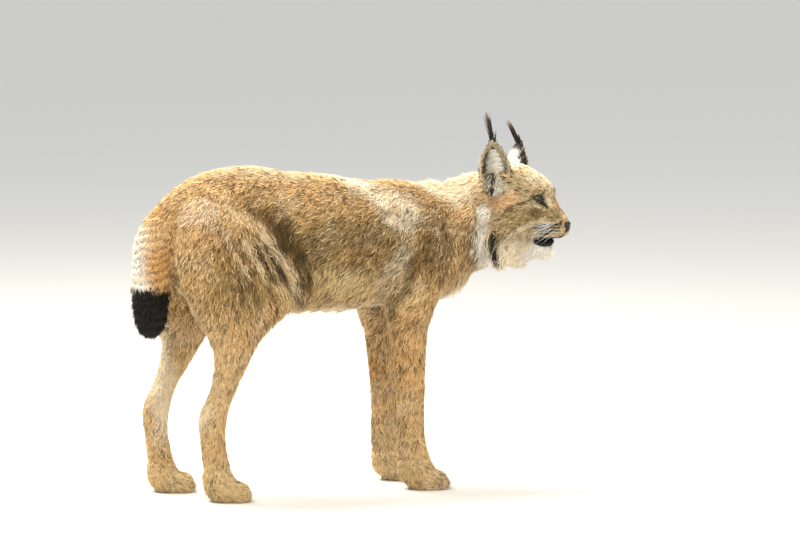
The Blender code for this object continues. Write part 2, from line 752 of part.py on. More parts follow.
def ear_tuft(way, group):
    """Three slender locks from the tip, the middle one the longest."""
    base, along, out, across = ear_axes(way)
    lean = Vector((TUFT_LEAN.x, way * TUFT_LEAN.y, TUFT_LEAN.z)).normalized()
    root = base + along * 0.90 - out * 0.002
    for k, (spread, share) in enumerate(((0.0, 1.0), (0.10, 0.80), (-0.12, 0.62))):
        aim = (lean + across * spread).normalized()
        reach = TUFT_LENGTH * share + along.length * 0.10
        path = [root + aim * reach * t - lean * 0.004 * t * (1 - t) for t in np.linspace(0, 1, 5)]
        strip(f"tuft_{k}", path, out, 0.0100 - 0.0022 * k, 0.0046, group)


def build_ear(side, head_clearance, nodes, pieces):
    way = 1 if side == "left" else -1
    ear = ear_cup(f"ear_{side}", way, nodes)
    cut(ear, head_clearance, "DIFFERENCE")
    largest(ear)
    ear_tuft(way, pieces)
    return union(ear, pieces)


def build_head(nodes, pieces, cutters):
    head = build_head_mass(nodes, pieces)
    head_clearance = clearance_of(head, cutters)
    ears = [build_ear(side, head_clearance, nodes, pieces) for side in ("left", "right")]
    eyes = [build_eye(side, head, nodes, cutters) for side in ("left", "right")]
    nose = build_nose(head, nodes, pieces, cutters)
    for obj in (head, nose, *ears, *eyes, *cutters.objects):
        obj.data.transform(head_frame())
    point, normal = neck_end()
    slice_at(head, point + normal * NODE_GAP / 2, normal)
    return head, nose, ears, eyes


# ---------------------------------------------------------------- where the locks grow
def ruff_spots():
    """Two rows down the back edge of each cheek and one under the throat."""
    spots = []
    for x, count, length, width in ((-0.128, 8, 0.046, 0.021), (-0.102, 5, 0.040, 0.020)):
        for way in (1, -1):
            for angle in np.linspace(radians(-12), radians(66), count):
                place = Vector((x, way * 0.085 * cos(angle), -0.012 - 0.080 * sin(angle)))
                lie = Vector((-0.45, way * 0.10, -0.90))
                spots.append((place, lie, length * (1.1 - 0.3 * sin(angle)), width))
    for y in (-0.026, 0, 0.026):
        spots.append((Vector((-0.105, y, -0.090)), Vector((-0.55, 0, -0.70)), 0.024, 0.020))
    turn = head_frame()
    return [(turn @ place, turn.to_3x3() @ lie, length, width) for place, lie, length, width in spots]


def tail_tip_spots():
    spots = []
    for k in range(9):
        angle = 2 * pi * k / 9
        out = Vector((cos(angle), sin(angle), 0))
        place = Vector((TAIL_X, 0, 0.342 + 0.010 * (k % 2))) + out * 0.03
        spots.append((place, Vector((0, 0, -1)) - out * 0.25, 0.040, 0.019))
    return spots


def belly_spots():
    """The fringe under the belly and the chest."""
    spots = []
    for y in (-0.066, -0.030, 0.0, 0.030, 0.066):
        for x in np.linspace(-0.088, -0.004, 4):
            spots.append((Vector((x - abs(y) * 0.15, y, 0.33)), Vector((-0.60, y * 2, -0.72)), 0.030, 0.024))
    for y, z in ((-0.034, 0.415), (0.0, 0.425), (0.034, 0.415), (-0.018, 0.390), (0.018, 0.390)):
        spots.append((Vector((0.28, y, z)), Vector((-0.10, 0, -1)), 0.030, 0.022))
    return spots


def thigh_spots(way, stride):
    """Breeches behind the thigh and the long strands that hang from its front edge."""
    spots = []
    for z, y in ((0.470, 0.080), (0.435, 0.098), (0.425, 0.070), (0.395, 0.092), (0.370, 0.080)):
        x = -0.40 + stride * stride_share(z)
        spots.append((Vector((x, way * y, z)), Vector((-0.30, 0, -0.95)), 0.032, 0.023))
    for z, x in ((0.440, -0.150), (0.415, -0.140), (0.392, -0.145), (0.372, -0.165)):
        spots.append((Vector((x, way * 0.120, z)), Vector((0.15, 0, -1)), 0.040, 0.021))
    return spots


def elbow_spots(way):
    places = ((0.094, 0.362), (0.080, 0.340), (0.066, 0.318))
    return [(Vector((0.010, way * y, z)), Vector((-0.45, 0, -0.9)), 0.026, 0.018) for y, z in places]


# ---------------------------------------------------------------- the part
SHORT_FUR = (0.55, 0.38, 0.22)
PALE_FUR = (0.68, 0.56, 0.40)
BLACK_FUR = (0.03, 0.025, 0.02)
NOSE_LEATHER = (0.42, 0.22, 0.18)
EYE_AMBER = (0.45, 0.36, 0.12)


def centre_on_floor(objects):
    """Puts the middle of the footprint at the origin."""
    points = np.array([vert.co for obj in objects for vert in obj.data.vertices])
    middle = (points.min(axis=0) + points.max(axis=0)) / 2
    return Matrix.Translation((-middle[0], -middle[1], 0))


def main():
    clear_scene()
    nodes = collection("eurasian_lynx")
    pieces = collection("pieces", shown=False)
    cutters = collection("cutters", shown=False)
    head, nose, ears, eyes = build_head(nodes, pieces, cutters)
    body = build_body(nodes, pieces)
    outer = tree_of(body)
    neck = part_neck(body, nodes)
    tail, tip = part_tail(body, nodes, cutters)
    legs = part_legs(body, nodes, cutters)
    paws = build_paws(nodes, pieces)
    grow_locks(head, ruff_spots(), tree_of(head), outer, pieces)
    grow_locks(tip, tail_tip_spots(), outer, outer, pieces, 0.15)
    grow_locks(body, belly_spots(), outer, outer, pieces)
    for way, leg, stride in ((1, legs[1], STRIDE_LEFT_HIND), (-1, legs[3], 0)):
        grow_locks(leg, thigh_spots(way, stride), outer, outer, pieces)
    for way, leg in ((1, legs[0]), (-1, legs[2])):
        grow_locks(leg, elbow_spots(way), outer, outer, pieces)
    for obj in (body, neck, tail, *legs):
        finish(obj, SHORT_FUR)
    for obj in (head, *ears, *paws):
        finish(obj, PALE_FUR)
    finish(tip, BLACK_FUR)
    finish(nose, NOSE_LEATHER, 0.5)
    for obj in eyes:
        finish(obj, EYE_AMBER, 0.08)
    bpy.data.collections.remove(pieces)
    move = centre_on_floor(nodes.objects)
    for obj in [*nodes.objects, *cutters.objects]:
        obj.data.transform(move)


main()
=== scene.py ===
# %% [markdown]
# # A Eurasian lynx, life size
# A museum model of a lynx that stands on a plain floor. The imported solids give every size and place. This
# lesson gives them one soft skin, grows a coat on it tuft by tuft, and adds the eyes, nose, lids, lips, claws
# and whiskers.
#
# Fur could be made with Blender's hair, but hair isn't solid. So every tuft here is a small closed mesh.
# %% Load the solids
import json

import bmesh
import bpy
import numpy as np
from math import cos, pi, radians, sin
from mathutils import Matrix, Vector
from mathutils.bvhtree import BVHTree

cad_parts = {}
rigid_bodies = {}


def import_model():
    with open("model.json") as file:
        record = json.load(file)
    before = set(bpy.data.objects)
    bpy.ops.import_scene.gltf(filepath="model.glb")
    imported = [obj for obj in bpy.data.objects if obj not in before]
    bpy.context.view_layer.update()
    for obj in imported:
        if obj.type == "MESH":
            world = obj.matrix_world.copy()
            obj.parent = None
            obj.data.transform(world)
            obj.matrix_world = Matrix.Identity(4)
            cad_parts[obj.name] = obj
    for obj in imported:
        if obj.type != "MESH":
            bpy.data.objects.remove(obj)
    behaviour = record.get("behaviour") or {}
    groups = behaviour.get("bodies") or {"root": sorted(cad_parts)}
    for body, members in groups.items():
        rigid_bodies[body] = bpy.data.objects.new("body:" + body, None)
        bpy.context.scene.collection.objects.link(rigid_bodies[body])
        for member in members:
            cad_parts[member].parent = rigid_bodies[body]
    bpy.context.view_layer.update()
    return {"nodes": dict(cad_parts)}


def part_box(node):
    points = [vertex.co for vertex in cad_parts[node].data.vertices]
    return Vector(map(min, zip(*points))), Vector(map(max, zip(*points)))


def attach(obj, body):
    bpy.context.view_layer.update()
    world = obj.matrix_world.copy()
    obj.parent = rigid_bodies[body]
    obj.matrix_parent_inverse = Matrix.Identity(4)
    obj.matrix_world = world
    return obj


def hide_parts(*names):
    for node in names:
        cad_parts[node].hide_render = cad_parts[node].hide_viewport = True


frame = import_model()
MM = 0.001
scene = bpy.context.scene


# %% [markdown]
# ## Helpers
# A mesh made in code is an object with a list of points and faces. Points could be moved one by one in a
# loop, but numpy keeps the hundred thousand tufts of a coat fast, so points travel as arrays of one row each.
# %% Mesh helpers
def add(name, mesh):
    obj = bpy.data.objects.new(name, mesh)
    scene.collection.objects.link(obj)
    return obj


def mesh_from(name, points, faces):
    mesh = bpy.data.meshes.new(name)
    mesh.from_pydata([tuple(p) for p in points], [], faces)
    mesh.update()
    return mesh


def settle(obj):
    """Applies the modifiers of obj."""
    graph = bpy.context.evaluated_depsgraph_get()
    graph.update()
    mesh = bpy.data.meshes.new_from_object(obj.evaluated_get(graph))
    obj.modifiers.clear()
    obj.data = mesh
    return obj


def soften(obj, rounds):
    """Applies the modifiers of obj, and after them some rounds of smoothing."""
    obj.modifiers.new("Soften", "SMOOTH").iterations = rounds
    return settle(obj)


def face_outwards(mesh, weld=0.0):
    """Turns the faces of a closed mesh outwards, once points nearer than weld are joined."""
    bm = bmesh.new()
    bm.from_mesh(mesh)
    if weld:
        bmesh.ops.remove_doubles(bm, verts=bm.verts, dist=weld)
    bmesh.ops.recalc_face_normals(bm, faces=bm.faces)
    bm.to_mesh(mesh)
    bm.free()


def points_of(mesh):
    flat = np.empty(len(mesh.vertices) * 3)
    mesh.vertices.foreach_get("co", flat)
    return flat.reshape(-1, 3)


def normals_of(mesh):
    flat = np.empty(len(mesh.vertices) * 3)
    mesh.vertex_normals.foreach_get("vector", flat)
    return flat.reshape(-1, 3)


def set_points(mesh, points):
    mesh.vertices.foreach_set("co", points.ravel())
    mesh.update()


def unit(vectors):
    return vectors / np.maximum(np.linalg.norm(vectors, axis=1, keepdims=True), 1e-9)


def smooth_step(t):
    t = np.clip(t, 0, 1)
    return t * t * (3 - 2 * t)


def ramp(values, low, high):
    """0 below low, 1 above high, and smooth between."""
    return smooth_step((values - low) / (high - low))


def swelling(gap, width):
    """1 where the gap is 0, falling away softly over the width."""
    return np.exp(-((gap / width) ** 2))


def halved(points):
    """The points with those of the right side turned over to the left."""
    return points * [1, 0, 1] + np.abs(points) * [0, 1, 0]


# %% [markdown]
# Folds, lips and streaks run along lines on the animal. A Bezier curve object could hold each line, but here
# a line only has to answer how far a point is from it, so it is a row of points on a smooth curve.
# %% Smooth lines
CHUNK = 20000  # points in one go, to spare memory


def curve_through(rows, steps=8):
    """Points on a smooth curve through the rows, in metres."""
    p = np.array(rows, float) * MM
    p = np.vstack([2 * p[0] - p[1], p, 2 * p[-1] - p[-2]])
    made = []
    for i in range(1, len(p) - 2):
        for t in np.arange(steps) / steps:
            made.append(0.5 * (2 * p[i] + (p[i + 1] - p[i - 1]) * t
                + (2 * p[i - 1] - 5 * p[i] + 4 * p[i + 1] - p[i + 2]) * t**2
                + (3 * p[i] - p[i - 1] - 3 * p[i + 1] + p[i + 2]) * t**3))
    return np.array(made + [p[-2]])


def distance_to(points, line, reach=0.07):
    """How far each point is from a line of points, or reach where it is further than that."""
    gap = np.full(len(points), reach)
    inside = (points > line.min(axis=0) - reach) & (points < line.max(axis=0) + reach)
    near = np.where(inside.all(axis=1))[0]
    for start in range(0, len(near), CHUNK):
        part = near[start : start + CHUNK]
        gap[part] = np.sqrt(((points[part, None, :] - line[None]) ** 2).sum(axis=2)).min(axis=1)
    return np.minimum(gap, reach)


# %% [markdown]
# No two places of a coat are alike: it waves, mottles and flecks at several sizes. Blender's noise texture
# only answers inside a material, so this is the same idea in numpy, random values on a lattice with a smooth
# blend.
# %% Soft noise
LATTICE_SIDE = 32
LATTICE = np.random.default_rng(5).random((6, *[LATTICE_SIDE] * 3))


def ripple(points, size, layer=0):
    """Smooth noise from -1 to 1, with bumps about size metres across."""
    p = points / size + 40 + 7.3 * layer
    cell = np.floor(p).astype(int)
    f = smooth_step(p - cell)
    table = LATTICE[layer % 6]
    total = 0
    for corner in range(8):
        step = np.array([(corner >> k) & 1 for k in range(3)])
        i = (cell + step) % LATTICE_SIDE
        share = np.prod(np.where(step, f, 1 - f), axis=1)
        total = total + table[i[:, 0], i[:, 1], i[:, 2]] * share
    return total * 2 - 1


# %% [markdown]
# ## The head's own frame
# The head is turned, so its lids and lips lie along the head and not along the body. Each could be placed in
# the model's frame and then turned, but it is easier to give the head a frame of its own: the origin at the
# nose tip, x forwards, y to the animal's left. Both eyes are known solids, and the line between them gives
# the turn. For a pair, way is 1 on the left and -1 on the right.
# %% Head frame
EYE_RADIUS = 0.0125
EYE_PLACE = Vector((-0.0600, 0.0262, 0.0440))
EYE_LOOK = radians(35)
EYE_SLANT = radians(28)

eye_left, eye_right = (sum(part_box(f"eye_{side}"), Vector()) / 2 for side in ("left", "right"))
HEAD_Y = (eye_left - eye_right).normalized()
HEAD_X = HEAD_Y.cross(Vector((0, 0, 1))).normalized()
HEAD_Z = HEAD_X.cross(HEAD_Y)
HEAD_TURN = Matrix((HEAD_X, HEAD_Y, HEAD_Z)).transposed()
HEAD_ORIGIN = (eye_left + eye_right) / 2 - HEAD_TURN @ Vector((EYE_PLACE.x, 0, EYE_PLACE.z))
TURN = np.array(HEAD_TURN)
print("nose tip", tuple(round(v, 4) for v in HEAD_ORIGIN))


def to_head(points):
    return (points - np.array(HEAD_ORIGIN)) @ TURN


def from_head(points):
    return points @ TURN.T + np.array(HEAD_ORIGIN)


def turned(vectors):
    """Ways in the head's frame as ways in the model's."""
    return vectors @ TURN.T


def side_name(way):
    return "left" if way > 0 else "right"


# %% [markdown]
# ## The skin
# Under its coat a lynx is slimmer than its outline, and its hide has no seams. A voxel remesh could join the
# solids, but their flat locks would stay on it as ridges. So the solids become a volume, and a surface read a
# few millimetres below theirs leaves the locks behind. It is then moved in further where the coat is long.
# %% Solids into one volume
SKIN_VOXEL = 0.0036
FIRST_DEPTH = 0.0034
OVERLAP = 0.0003
WELD = 0.00001  # points nearer than this are one
EAR_NODES = ("ear_left", "ear_right")


def joined_solids(names):
    """The solids as one mesh, each a little wider so that they overlap."""
    bm = bmesh.new()
    for name in names:
        bm.from_mesh(frame["nodes"][name].data)
    bmesh.ops.remove_doubles(bm, verts=bm.verts, dist=WELD)
    bm.normal_update()
    for vert in bm.verts:
        vert.co += vert.normal * OVERLAP
    mesh = bpy.data.meshes.new("flesh")
    bm.to_mesh(mesh)
    bm.free()
    return mesh


def inset_nodes(voxel, depth):
    """Geometry nodes that read a surface at a depth inside closed meshes."""
    band = 4 * voxel
    tree = bpy.data.node_groups.new("inset", "GeometryNodeTree")
    for way in ("INPUT", "OUTPUT"):
        tree.interface.new_socket("Geometry", in_out=way, socket_type="NodeSocketGeometry")
    start, end = tree.nodes.new("NodeGroupInput"), tree.nodes.new("NodeGroupOutput")
    fill = tree.nodes.new("GeometryNodeMeshToVolume")
    fill.resolution_mode = "VOXEL_SIZE"
    fill.inputs["Density"].default_value = 1
    fill.inputs["Voxel Size"].default_value = voxel
    fill.inputs["Interior Band Width"].default_value = band
    shell = tree.nodes.new("GeometryNodeVolumeToMesh")
    shell.resolution_mode = "GRID"
    shell.inputs["Threshold"].default_value = depth / band
    tree.links.new(start.outputs[0], fill.inputs["Mesh"])
    tree.links.new(fill.outputs[0], shell.inputs["Volume"])
    tree.links.new(shell.outputs[0], end.inputs[0])
    return tree


# %% Inset of the solids
def largest_shell(mesh):
    """Keeps the largest closed surface of a mesh."""
    bm = bmesh.new()
    bm.from_mesh(mesh)
    left, shells = set(bm.verts), []
    while left:
        found, edge = [], [left.pop()]
        while edge:
            vert = edge.pop()
            found.append(vert)
            for link in vert.link_edges:
                other = link.other_vert(vert)
                if other in left:
                    left.discard(other)
                    edge.append(other)
        shells.append(found)
    shells.sort(key=len)
    for shell in shells[:-1]:
        bmesh.ops.delete(bm, geom=shell, context="VERTS")
    bm.to_mesh(mesh)
    bm.free()


flesh_nodes = [name for name in frame["nodes"] if name not in EAR_NODES]
skin = add("skin", joined_solids(flesh_nodes))
skin.modifiers.new("Inset", "NODES").node_group = inset_nodes(SKIN_VOXEL, FIRST_DEPTH)
soften(skin, 14)
largest_shell(skin.data)
print("skin faces", len(skin.data.polygons))


# %% [markdown]
# ## How the coat lies
# Hair runs back and down over a lynx, is short on the face and hangs long on the ruff. It could be combed by
# hand with Blender's brushes, but nobody could read or repeat that. So each row here is a note such as a
# groomer would make: which way the hair runs, how long and how wide its tufts are, and how far they stand
# off. Places are in millimetres, for the left side, and both sides are alike.
# %% Notes on the body
# place x y z, way of the hair x y z, length, width, lift in degrees, depth of the coat
BODY_NOTES = (
    (-200, 0, 614, -1, 0, -0.08, 19, 2.4, 26, 6),
    (-60, 0, 606, -1, 0, -0.05, 19, 2.1, 26, 6),
    (60, 0, 596, -1, 0, -0.05, 19, 2.1, 28, 6),
    (130, 0, 590, -1, 0, -0.10, 24, 2.1, 36, 7),
    (-330, 0, 590, -0.85, 0, -0.5, 19, 2.4, 26, 6),
    (-330, 70, 530, -0.6, 0.1, -0.8, 21, 2.4, 26, 6),
    (-120, 90, 560, -0.94, 0.1, -0.35, 19, 2.1, 26, 6),
    (0, 90, 550, -0.9, 0.1, -0.45, 21, 2.1, 28, 6),
    (-60, 105, 470, -0.86, 0, -0.5, 22, 2.3, 28, 7),
    (-50, 95, 390, -0.70, -0.1, -0.70, 25, 2.3, 30, 7),
    (-50, 0, 345, -0.95, 0, -0.35, 25, 2.4, 30, 7),
    (50, 0, 350, -0.95, 0, -0.35, 24, 2.4, 30, 7),
    (50, 100, 450, -0.7, 0, -0.7, 24, 2.3, 30, 7),
    (40, 100, 380, -0.6, 0, -0.8, 25, 2.3, 30, 7),
    (110, 75, 550, -0.7, 0.1, -0.7, 22, 2.1, 30, 7),
    (150, 100, 460, -0.5, 0, -0.87, 22, 2.3, 28, 7),
    (125, 105, 390, -0.45, 0, -0.9, 18, 2.1, 26, 5),
    (75, 95, 350, -0.6, 0, -0.8, 18, 2.1, 28, 4),
    (105, 90, 280, -0.15, 0, -1, 16, 2.0, 20, 4),
    (108, 88, 140, -0.05, 0, -1, 14, 1.8, 20, 3),
    (115, 85, 60, 0.2, 0, -1, 14, 1.7, 22, 2),
    (145, 70, 40, 0.8, 0, -0.5, 14, 1.7, 26, 1),
    (165, 70, 20, 0.8, 0, -0.5, 10, 1.5, 24, 1),
    (250, 0, 440, -0.2, 0, -1, 24, 2.3, 30, 7),
    (185, 0, 370, -0.75, 0, -0.65, 25, 2.4, 30, 6),
    (-290, 115, 530, -0.5, 0, -0.85, 21, 2.4, 26, 5),
    (-280, 135, 460, -0.3, 0, -0.95, 21, 2.4, 26, 5),
    (-235, 128, 455, 0.38, 0, -0.92, 23, 2.3, 26, 5),
    (-180, 125, 450, 0.52, 0, -0.85, 27, 2.4, 26, 5),
    (-125, 110, 410, 0.32, 0, -0.95, 30, 2.1, 30, 6),
    (-260, 130, 380, -0.15, 0, -1, 19, 2.2, 26, 4),
    (-365, 90, 450, -0.5, 0, -0.87, 22, 2.4, 30, 5),
    (-360, 90, 390, -0.35, 0, -0.93, 19, 2.2, 28, 4),
    (-180, 110, 350, 0.25, 0, -1, 22, 2.2, 28, 4),
    (-270, 50, 400, -0.2, 0, -1, 18, 2.4, 26, 4),
    (-270, 105, 290, -0.2, 0, -1, 17, 2.0, 20, 4),
    (-325, 100, 210, -0.25, 0, -1, 14, 1.8, 20, 3),
    (-320, 95, 120, 0.0, 0, -1, 14, 1.8, 20, 3),
    (-290, 85, 60, 0.3, 0, -1, 14, 1.7, 22, 2),
    (-290, 80, 20, 0.8, 0, -0.5, 13, 1.7, 26, 1),
    (-230, 80, 20, 0.8, 0, -0.5, 10, 1.5, 24, 1),
    (-362, 58, 485, -0.1, 0, -1, 11, 2.1, 20, 8),
    (-356, 52, 440, -0.1, 0, -1, 11, 2.1, 20, 8),
    (-385, 0, 560, -0.7, 0, -0.75, 17, 2.3, 32, 5),
    (-390, 30, 490, -0.15, 0.2, -1, 16, 2.3, 36, 5),
    (-390, 30, 420, -0.10, 0.2, -1, 16, 2.3, 36, 5),
    (-390, 28, 350, 0.0, 0.1, -1, 22, 2.3, 32, 5),
    (-390, 0, 310, 0.0, 0, -1, 22, 2.3, 32, 5),
    (215, 0, 590, -1, 0, -0.15, 26, 2.1, 36, 7),
    (235, 70, 520, -0.75, 0.1, -0.65, 24, 2.3, 28, 7),
    (250, 60, 440, -0.5, 0.1, -0.85, 25, 2.3, 28, 7),
)
# %% Notes on the head, in its own frame
HEAD_NOTES = (
    (-6, 0, 12, -0.5, 0, 0.85, 4.6, 1.5, 15, 0),
    (-22, 0, 29, -0.5, 0, 0.85, 5.8, 1.6, 17, 0),
    (-22, 14, 18, -0.75, 0.3, 0.5, 5.8, 1.6, 17, 0),
    (-40, 0, 56, -0.6, 0, 0.8, 6.8, 1.8, 21, 0),
    (-60, 0, 88, -0.85, 0, 0.5, 9.3, 2.2, 25, 1),
    (-105, 0, 108, -1, 0, 0.05, 14.3, 2.5, 27, 2),
    (-150, 0, 104, -0.95, 0, -0.2, 17, 2.4, 24, 5),
    (-52, 28, 64, -0.8, 0.35, 0.45, 6.8, 1.8, 23, 0),
    (-85, 46, 62, -0.95, 0.2, 0.05, 11.2, 1.9, 25, 2),
    (-125, 60, 40, -0.85, 0.15, -0.45, 14, 2.1, 24, 4),
    (-75, 45, 35, -0.97, 0.2, -0.1, 9.3, 2.1, 23, 1),
    (-46, 34, 24, -0.88, 0.35, -0.25, 6.2, 1.7, 19, 0),
    (-25, 26, -6, -0.95, 0.35, -0.05, 5.1, 1.5, 15, 0),
    (-45, 30, -12, -0.95, 0.35, -0.1, 6.8, 1.6, 17, 0),
    (-12, 9, -12, -0.5, 0.6, -0.5, 4.3, 1.5, 13, 0),
    (-80, 52, 5, -0.9, 0.2, -0.35, 13, 1.8, 24, 3),
    (-80, 45, -30, -0.8, 0.15, -0.6, 15, 1.9, 22, 4),
    (-38, 8, -50, -0.35, 0.3, -0.9, 13.1, 2.1, 37, 0),
    (-58, 0, -66, -0.7, 0, -0.7, 15, 1.7, 34, 0),
    (-82, 30, -58, -0.7, 0.1, -0.7, 18, 1.9, 26, 4),
    (-125, 66, 10, -0.4, 0.12, -0.92, 20, 1.9, 24, 7),
    (-128, 72, -30, -0.1, 0.10, -1, 28, 2.0, 22, 8),
    (-122, 60, -62, 0.05, 0, -1, 29, 2.1, 22, 8),
    (-110, 0, -78, -0.5, 0, -0.85, 24, 2.3, 26, 7),
    (-150, 60, 20, -0.5, 0.1, -0.85, 24, 2.4, 24, 7),
    (-150, 58, -30, -0.1, 0.1, -1, 28, 2.5, 22, 7),
)


# %% [markdown]
# Between two notes the coat changes little by little. Taking the nearest note would leave seams, so any point
# of the skin takes a blend of all of them, in which the near ones count most.
# %% The blend of the notes
NOTE_REACH = 0.012  # within this of a note, in metres, it hardly changes


def both_sides(rows, on_head=False):
    """The notes as arrays, with each row that isn't on the middle line repeated for the right side."""
    table = np.array(rows, float)
    flip = np.array([1, -1, 1, 1, -1, 1, 1, 1, 1, 1])
    table = np.vstack([table, table[np.abs(table[:, 1]) > 1] * flip])
    table[:, :3] *= MM
    if on_head:
        table[:, :3] = from_head(table[:, :3])
        table[:, 3:6] = turned(table[:, 3:6])
    table[:, 3:6] = unit(table[:, 3:6])
    table[:, 6:8] *= MM
    table[:, 8] = np.radians(table[:, 8])
    table[:, 9] *= MM
    return table


NOTES = np.vstack([both_sides(BODY_NOTES), both_sides(HEAD_NOTES, True)])


def groom(points):
    """Way, length, width, lift and depth of the coat at every point."""
    made = np.empty((len(points), 7))
    for start in range(0, len(points), CHUNK):
        part = points[start : start + CHUNK]
        gap = ((part[:, None, :] - NOTES[None, :, :3]) ** 2).sum(axis=2)
        share = 1 / (gap + NOTE_REACH**2) ** 2
        share /= share.sum(axis=1, keepdims=True)
        made[start : start + CHUNK] = share @ NOTES[:, 3:]
    return made


# %% Moving the skin in
points = points_of(skin.data)
depth = groom(points)[:, 6]
points = points - normals_of(skin.data) * np.maximum(depth - FIRST_DEPTH, 0)[:, None]
set_points(skin.data, points)
soften(skin, 6)
print("depth of the coat in mm, least and most", depth.min() / MM, depth.max() / MM)

# %% [markdown]
# ## Folds and muscles
# A lean lynx shows its shoulder, the crease before its thigh, its hip and the bones of its legs. They could
# be sculpted by hand. Here each is a line of points and the skin beside it is pushed out or in along its
# normals, so that one row can be moved or weakened and the rest stays.
# %% Folds and muscles
BODY_FORMS = (  # a line of points, outward push and half width in mm, for the left side
    (((-240, 110, 560), (-205, 112, 520), (-172, 112, 488), (-142, 112, 449), (-118, 108, 400)), -7, 15),
    (((-285, 112, 540), (-245, 118, 500), (-212, 122, 460), (-175, 120, 410)), 3, 20),
    (((130, 105, 485), (98, 105, 446), (76, 100, 400)), -6, 13),
    (((95, 45, 585), (108, 80, 530), (125, 105, 480)), 3.5, 18),
    (((60, 60, 575), (68, 90, 530), (78, 105, 480)), -2.5, 14),
    (((-358, 52, 515), (-354, 48, 470), (-342, 42, 420)), -8, 11),
    (((-180, 0, 600), (-250, 0, 600), (-320, 0, 585), (-345, 0, 565)), 5.5, 50),
    (((185, 0, 562), (204, 0, 560), (222, 0, 566)), 10, 20),
    (((-388, 22, 470), (-386, 18, 410)), 5, 36),
    (((120, 88, 240), (112, 85, 150), (112, 80, 70)), 3, 60),
    (((110, 60, 240), (105, 58, 150), (108, 56, 70)), 3, 60),
    (((-280, 105, 260), (-305, 95, 190), (-300, 88, 110), (-285, 85, 60)), 3, 60),
)


def set_body_forms(points, normals):
    half = halved(points)
    for line, push, width in BODY_FORMS:
        gap = distance_to(half, curve_through(line, 5))
        points = points + normals * (push * MM * swelling(gap, width * MM))[:, None]
    return points


set_points(skin.data, set_body_forms(points_of(skin.data), normals_of(skin.data)))


# %% [markdown]
# ## The face
# Lids, lips and the line of the mouth need points a millimetre apart, and the skin's are three. Dividing all
# of it would cost a million faces, so only the faces of the head, and later of the toes, are divided. Each
# form is then a move of the points in the head's frame.
# %% Finer faces on the head
def refine(obj, chosen):
    """Divides the faces whose centres the test chooses."""
    bm = bmesh.new()
    bm.from_mesh(obj.data)
    centres = np.array([face.calc_center_median() for face in bm.faces])
    picked = [face for face, wanted in zip(bm.faces, chosen(to_head(centres))) if wanted]
    edges = dict.fromkeys(edge for face in picked for edge in face.edges)  # each once, always in one order
    bmesh.ops.subdivide_edges(bm, edges=list(edges), cuts=1, use_grid_fill=True, smooth=0)
    bm.to_mesh(obj.data)
    bm.free()


refine(skin, lambda p: (p[:, 0] > -0.105) & (np.abs(p[:, 1]) < 0.09))
refine(skin, lambda p: (p[:, 0] > -0.078) & (np.abs(p[:, 1]) < 0.06) & (p[:, 2] < 0.068) & (p[:, 2] > -0.05))
soften(skin, 3)
print("skin faces with a finer face", len(skin.data.polygons))

# %% [markdown]
# ## Toes
# A lynx stands on broad furred paws, each with four toes in front. Balls could be joined on as toes, but
# their seams would show in the coat. So three grooves and four knuckles are pushed into the one skin, and the
# sole is set down flat on the floor.
# %% Toes
PAWS = ("forepaw_left", "forepaw_right", "hindpaw_left", "hindpaw_right")
TOE_GROOVES = (-0.46, 0.0, 0.46)  # places between the toes, as a share of the paw's half width
TOE_KNUCKLES = (-0.72, -0.24, 0.24, 0.72)
GROOVE_DEPTH = 0.0080
KNUCKLE_HEIGHT = 0.0058
SOLE_HEIGHT = 0.0034  # how far the first inset lifted the soles
FLOOR_GAP = 0.0003


def paw_places(paw, points):
    """How far across a paw, as a share of its half width, that half width, and how far behind its front."""
    low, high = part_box(paw)
    half, middle = (high.y - low.y) / 2, (high.y + low.y) / 2
    return (points[:, 1] - middle) / half, half, high.x - points[:, 0]


def set_toes(points, normals):
    """Three grooves part the front of each paw into four toes, each with a knuckle."""
    for paw in PAWS:
        across, half, behind = paw_places(paw, points)
        height = points[:, 2]
        here = (behind < 0.10) & (behind > -0.02) & (np.abs(across) < 1.3) & (height < 0.07)
        groove = GROOVE_DEPTH * (1 - ramp(behind, 0.024, 0.046)) * ramp(height, 0.002, 0.010)
        knuckle = KNUCKLE_HEIGHT * ramp(height, 0.004, 0.018) * (1 - ramp(height, 0.032, 0.048))
        push = 0.0020 * (1 - ramp(height, 0.045, 0.07))
        for place in TOE_GROOVES:
            push -= groove * swelling((across - place) * half, 0.0034)
        for place in TOE_KNUCKLES:
            back = 0.012 + 0.010 * abs(place)
            push += knuckle * swelling(np.hypot((across - place) * half / 0.0072, (behind - back) / 0.012), 1)
        points = points + normals * (push * here)[:, None]
        low_front = (1 - ramp(behind, 0.005, 0.060)) * (1 - ramp(points[:, 2], 0.055, 0.07))
        points[:, 2] *= 1 - 0.20 * here * low_front
    sole = 1 - ramp(points[:, 2], SOLE_HEIGHT, 3.5 * SOLE_HEIGHT)
    points[:, 2] = np.maximum(points[:, 2] - SOLE_HEIGHT * sole, FLOOR_GAP)
    return points


def near_paws(points):
    """The faces of the toes, from centres in the head's frame."""
    spots = from_head(points)
    chosen = np.zeros(len(spots), bool)
    for paw in PAWS:
        across, half, behind = paw_places(paw, spots)
        chosen |= (behind < 0.05) & (behind > -0.01) & (spots[:, 2] < 0.06) & (np.abs(across) * half < 0.06)
    return chosen


refine(skin, near_paws)
set_points(skin.data, set_toes(points_of(skin.data), normals_of(skin.data)))

# %% [markdown]
# ## Lids
# The lids lie on the eyeball and leave an almond open. A hole cut in the skin would have a ragged edge. So
# the skin is lifted onto a ball a little wider than the eye, and inside the almond it drops back behind the
# eye.
# %% Lids
LID_RADIUS = EYE_RADIUS + 0.0016
BEHIND_EYE = EYE_RADIUS - 0.0035
EYE_HALF_WIDTH = 0.0116
UPPER_LID = 0.0088
LOWER_LID = 0.0046


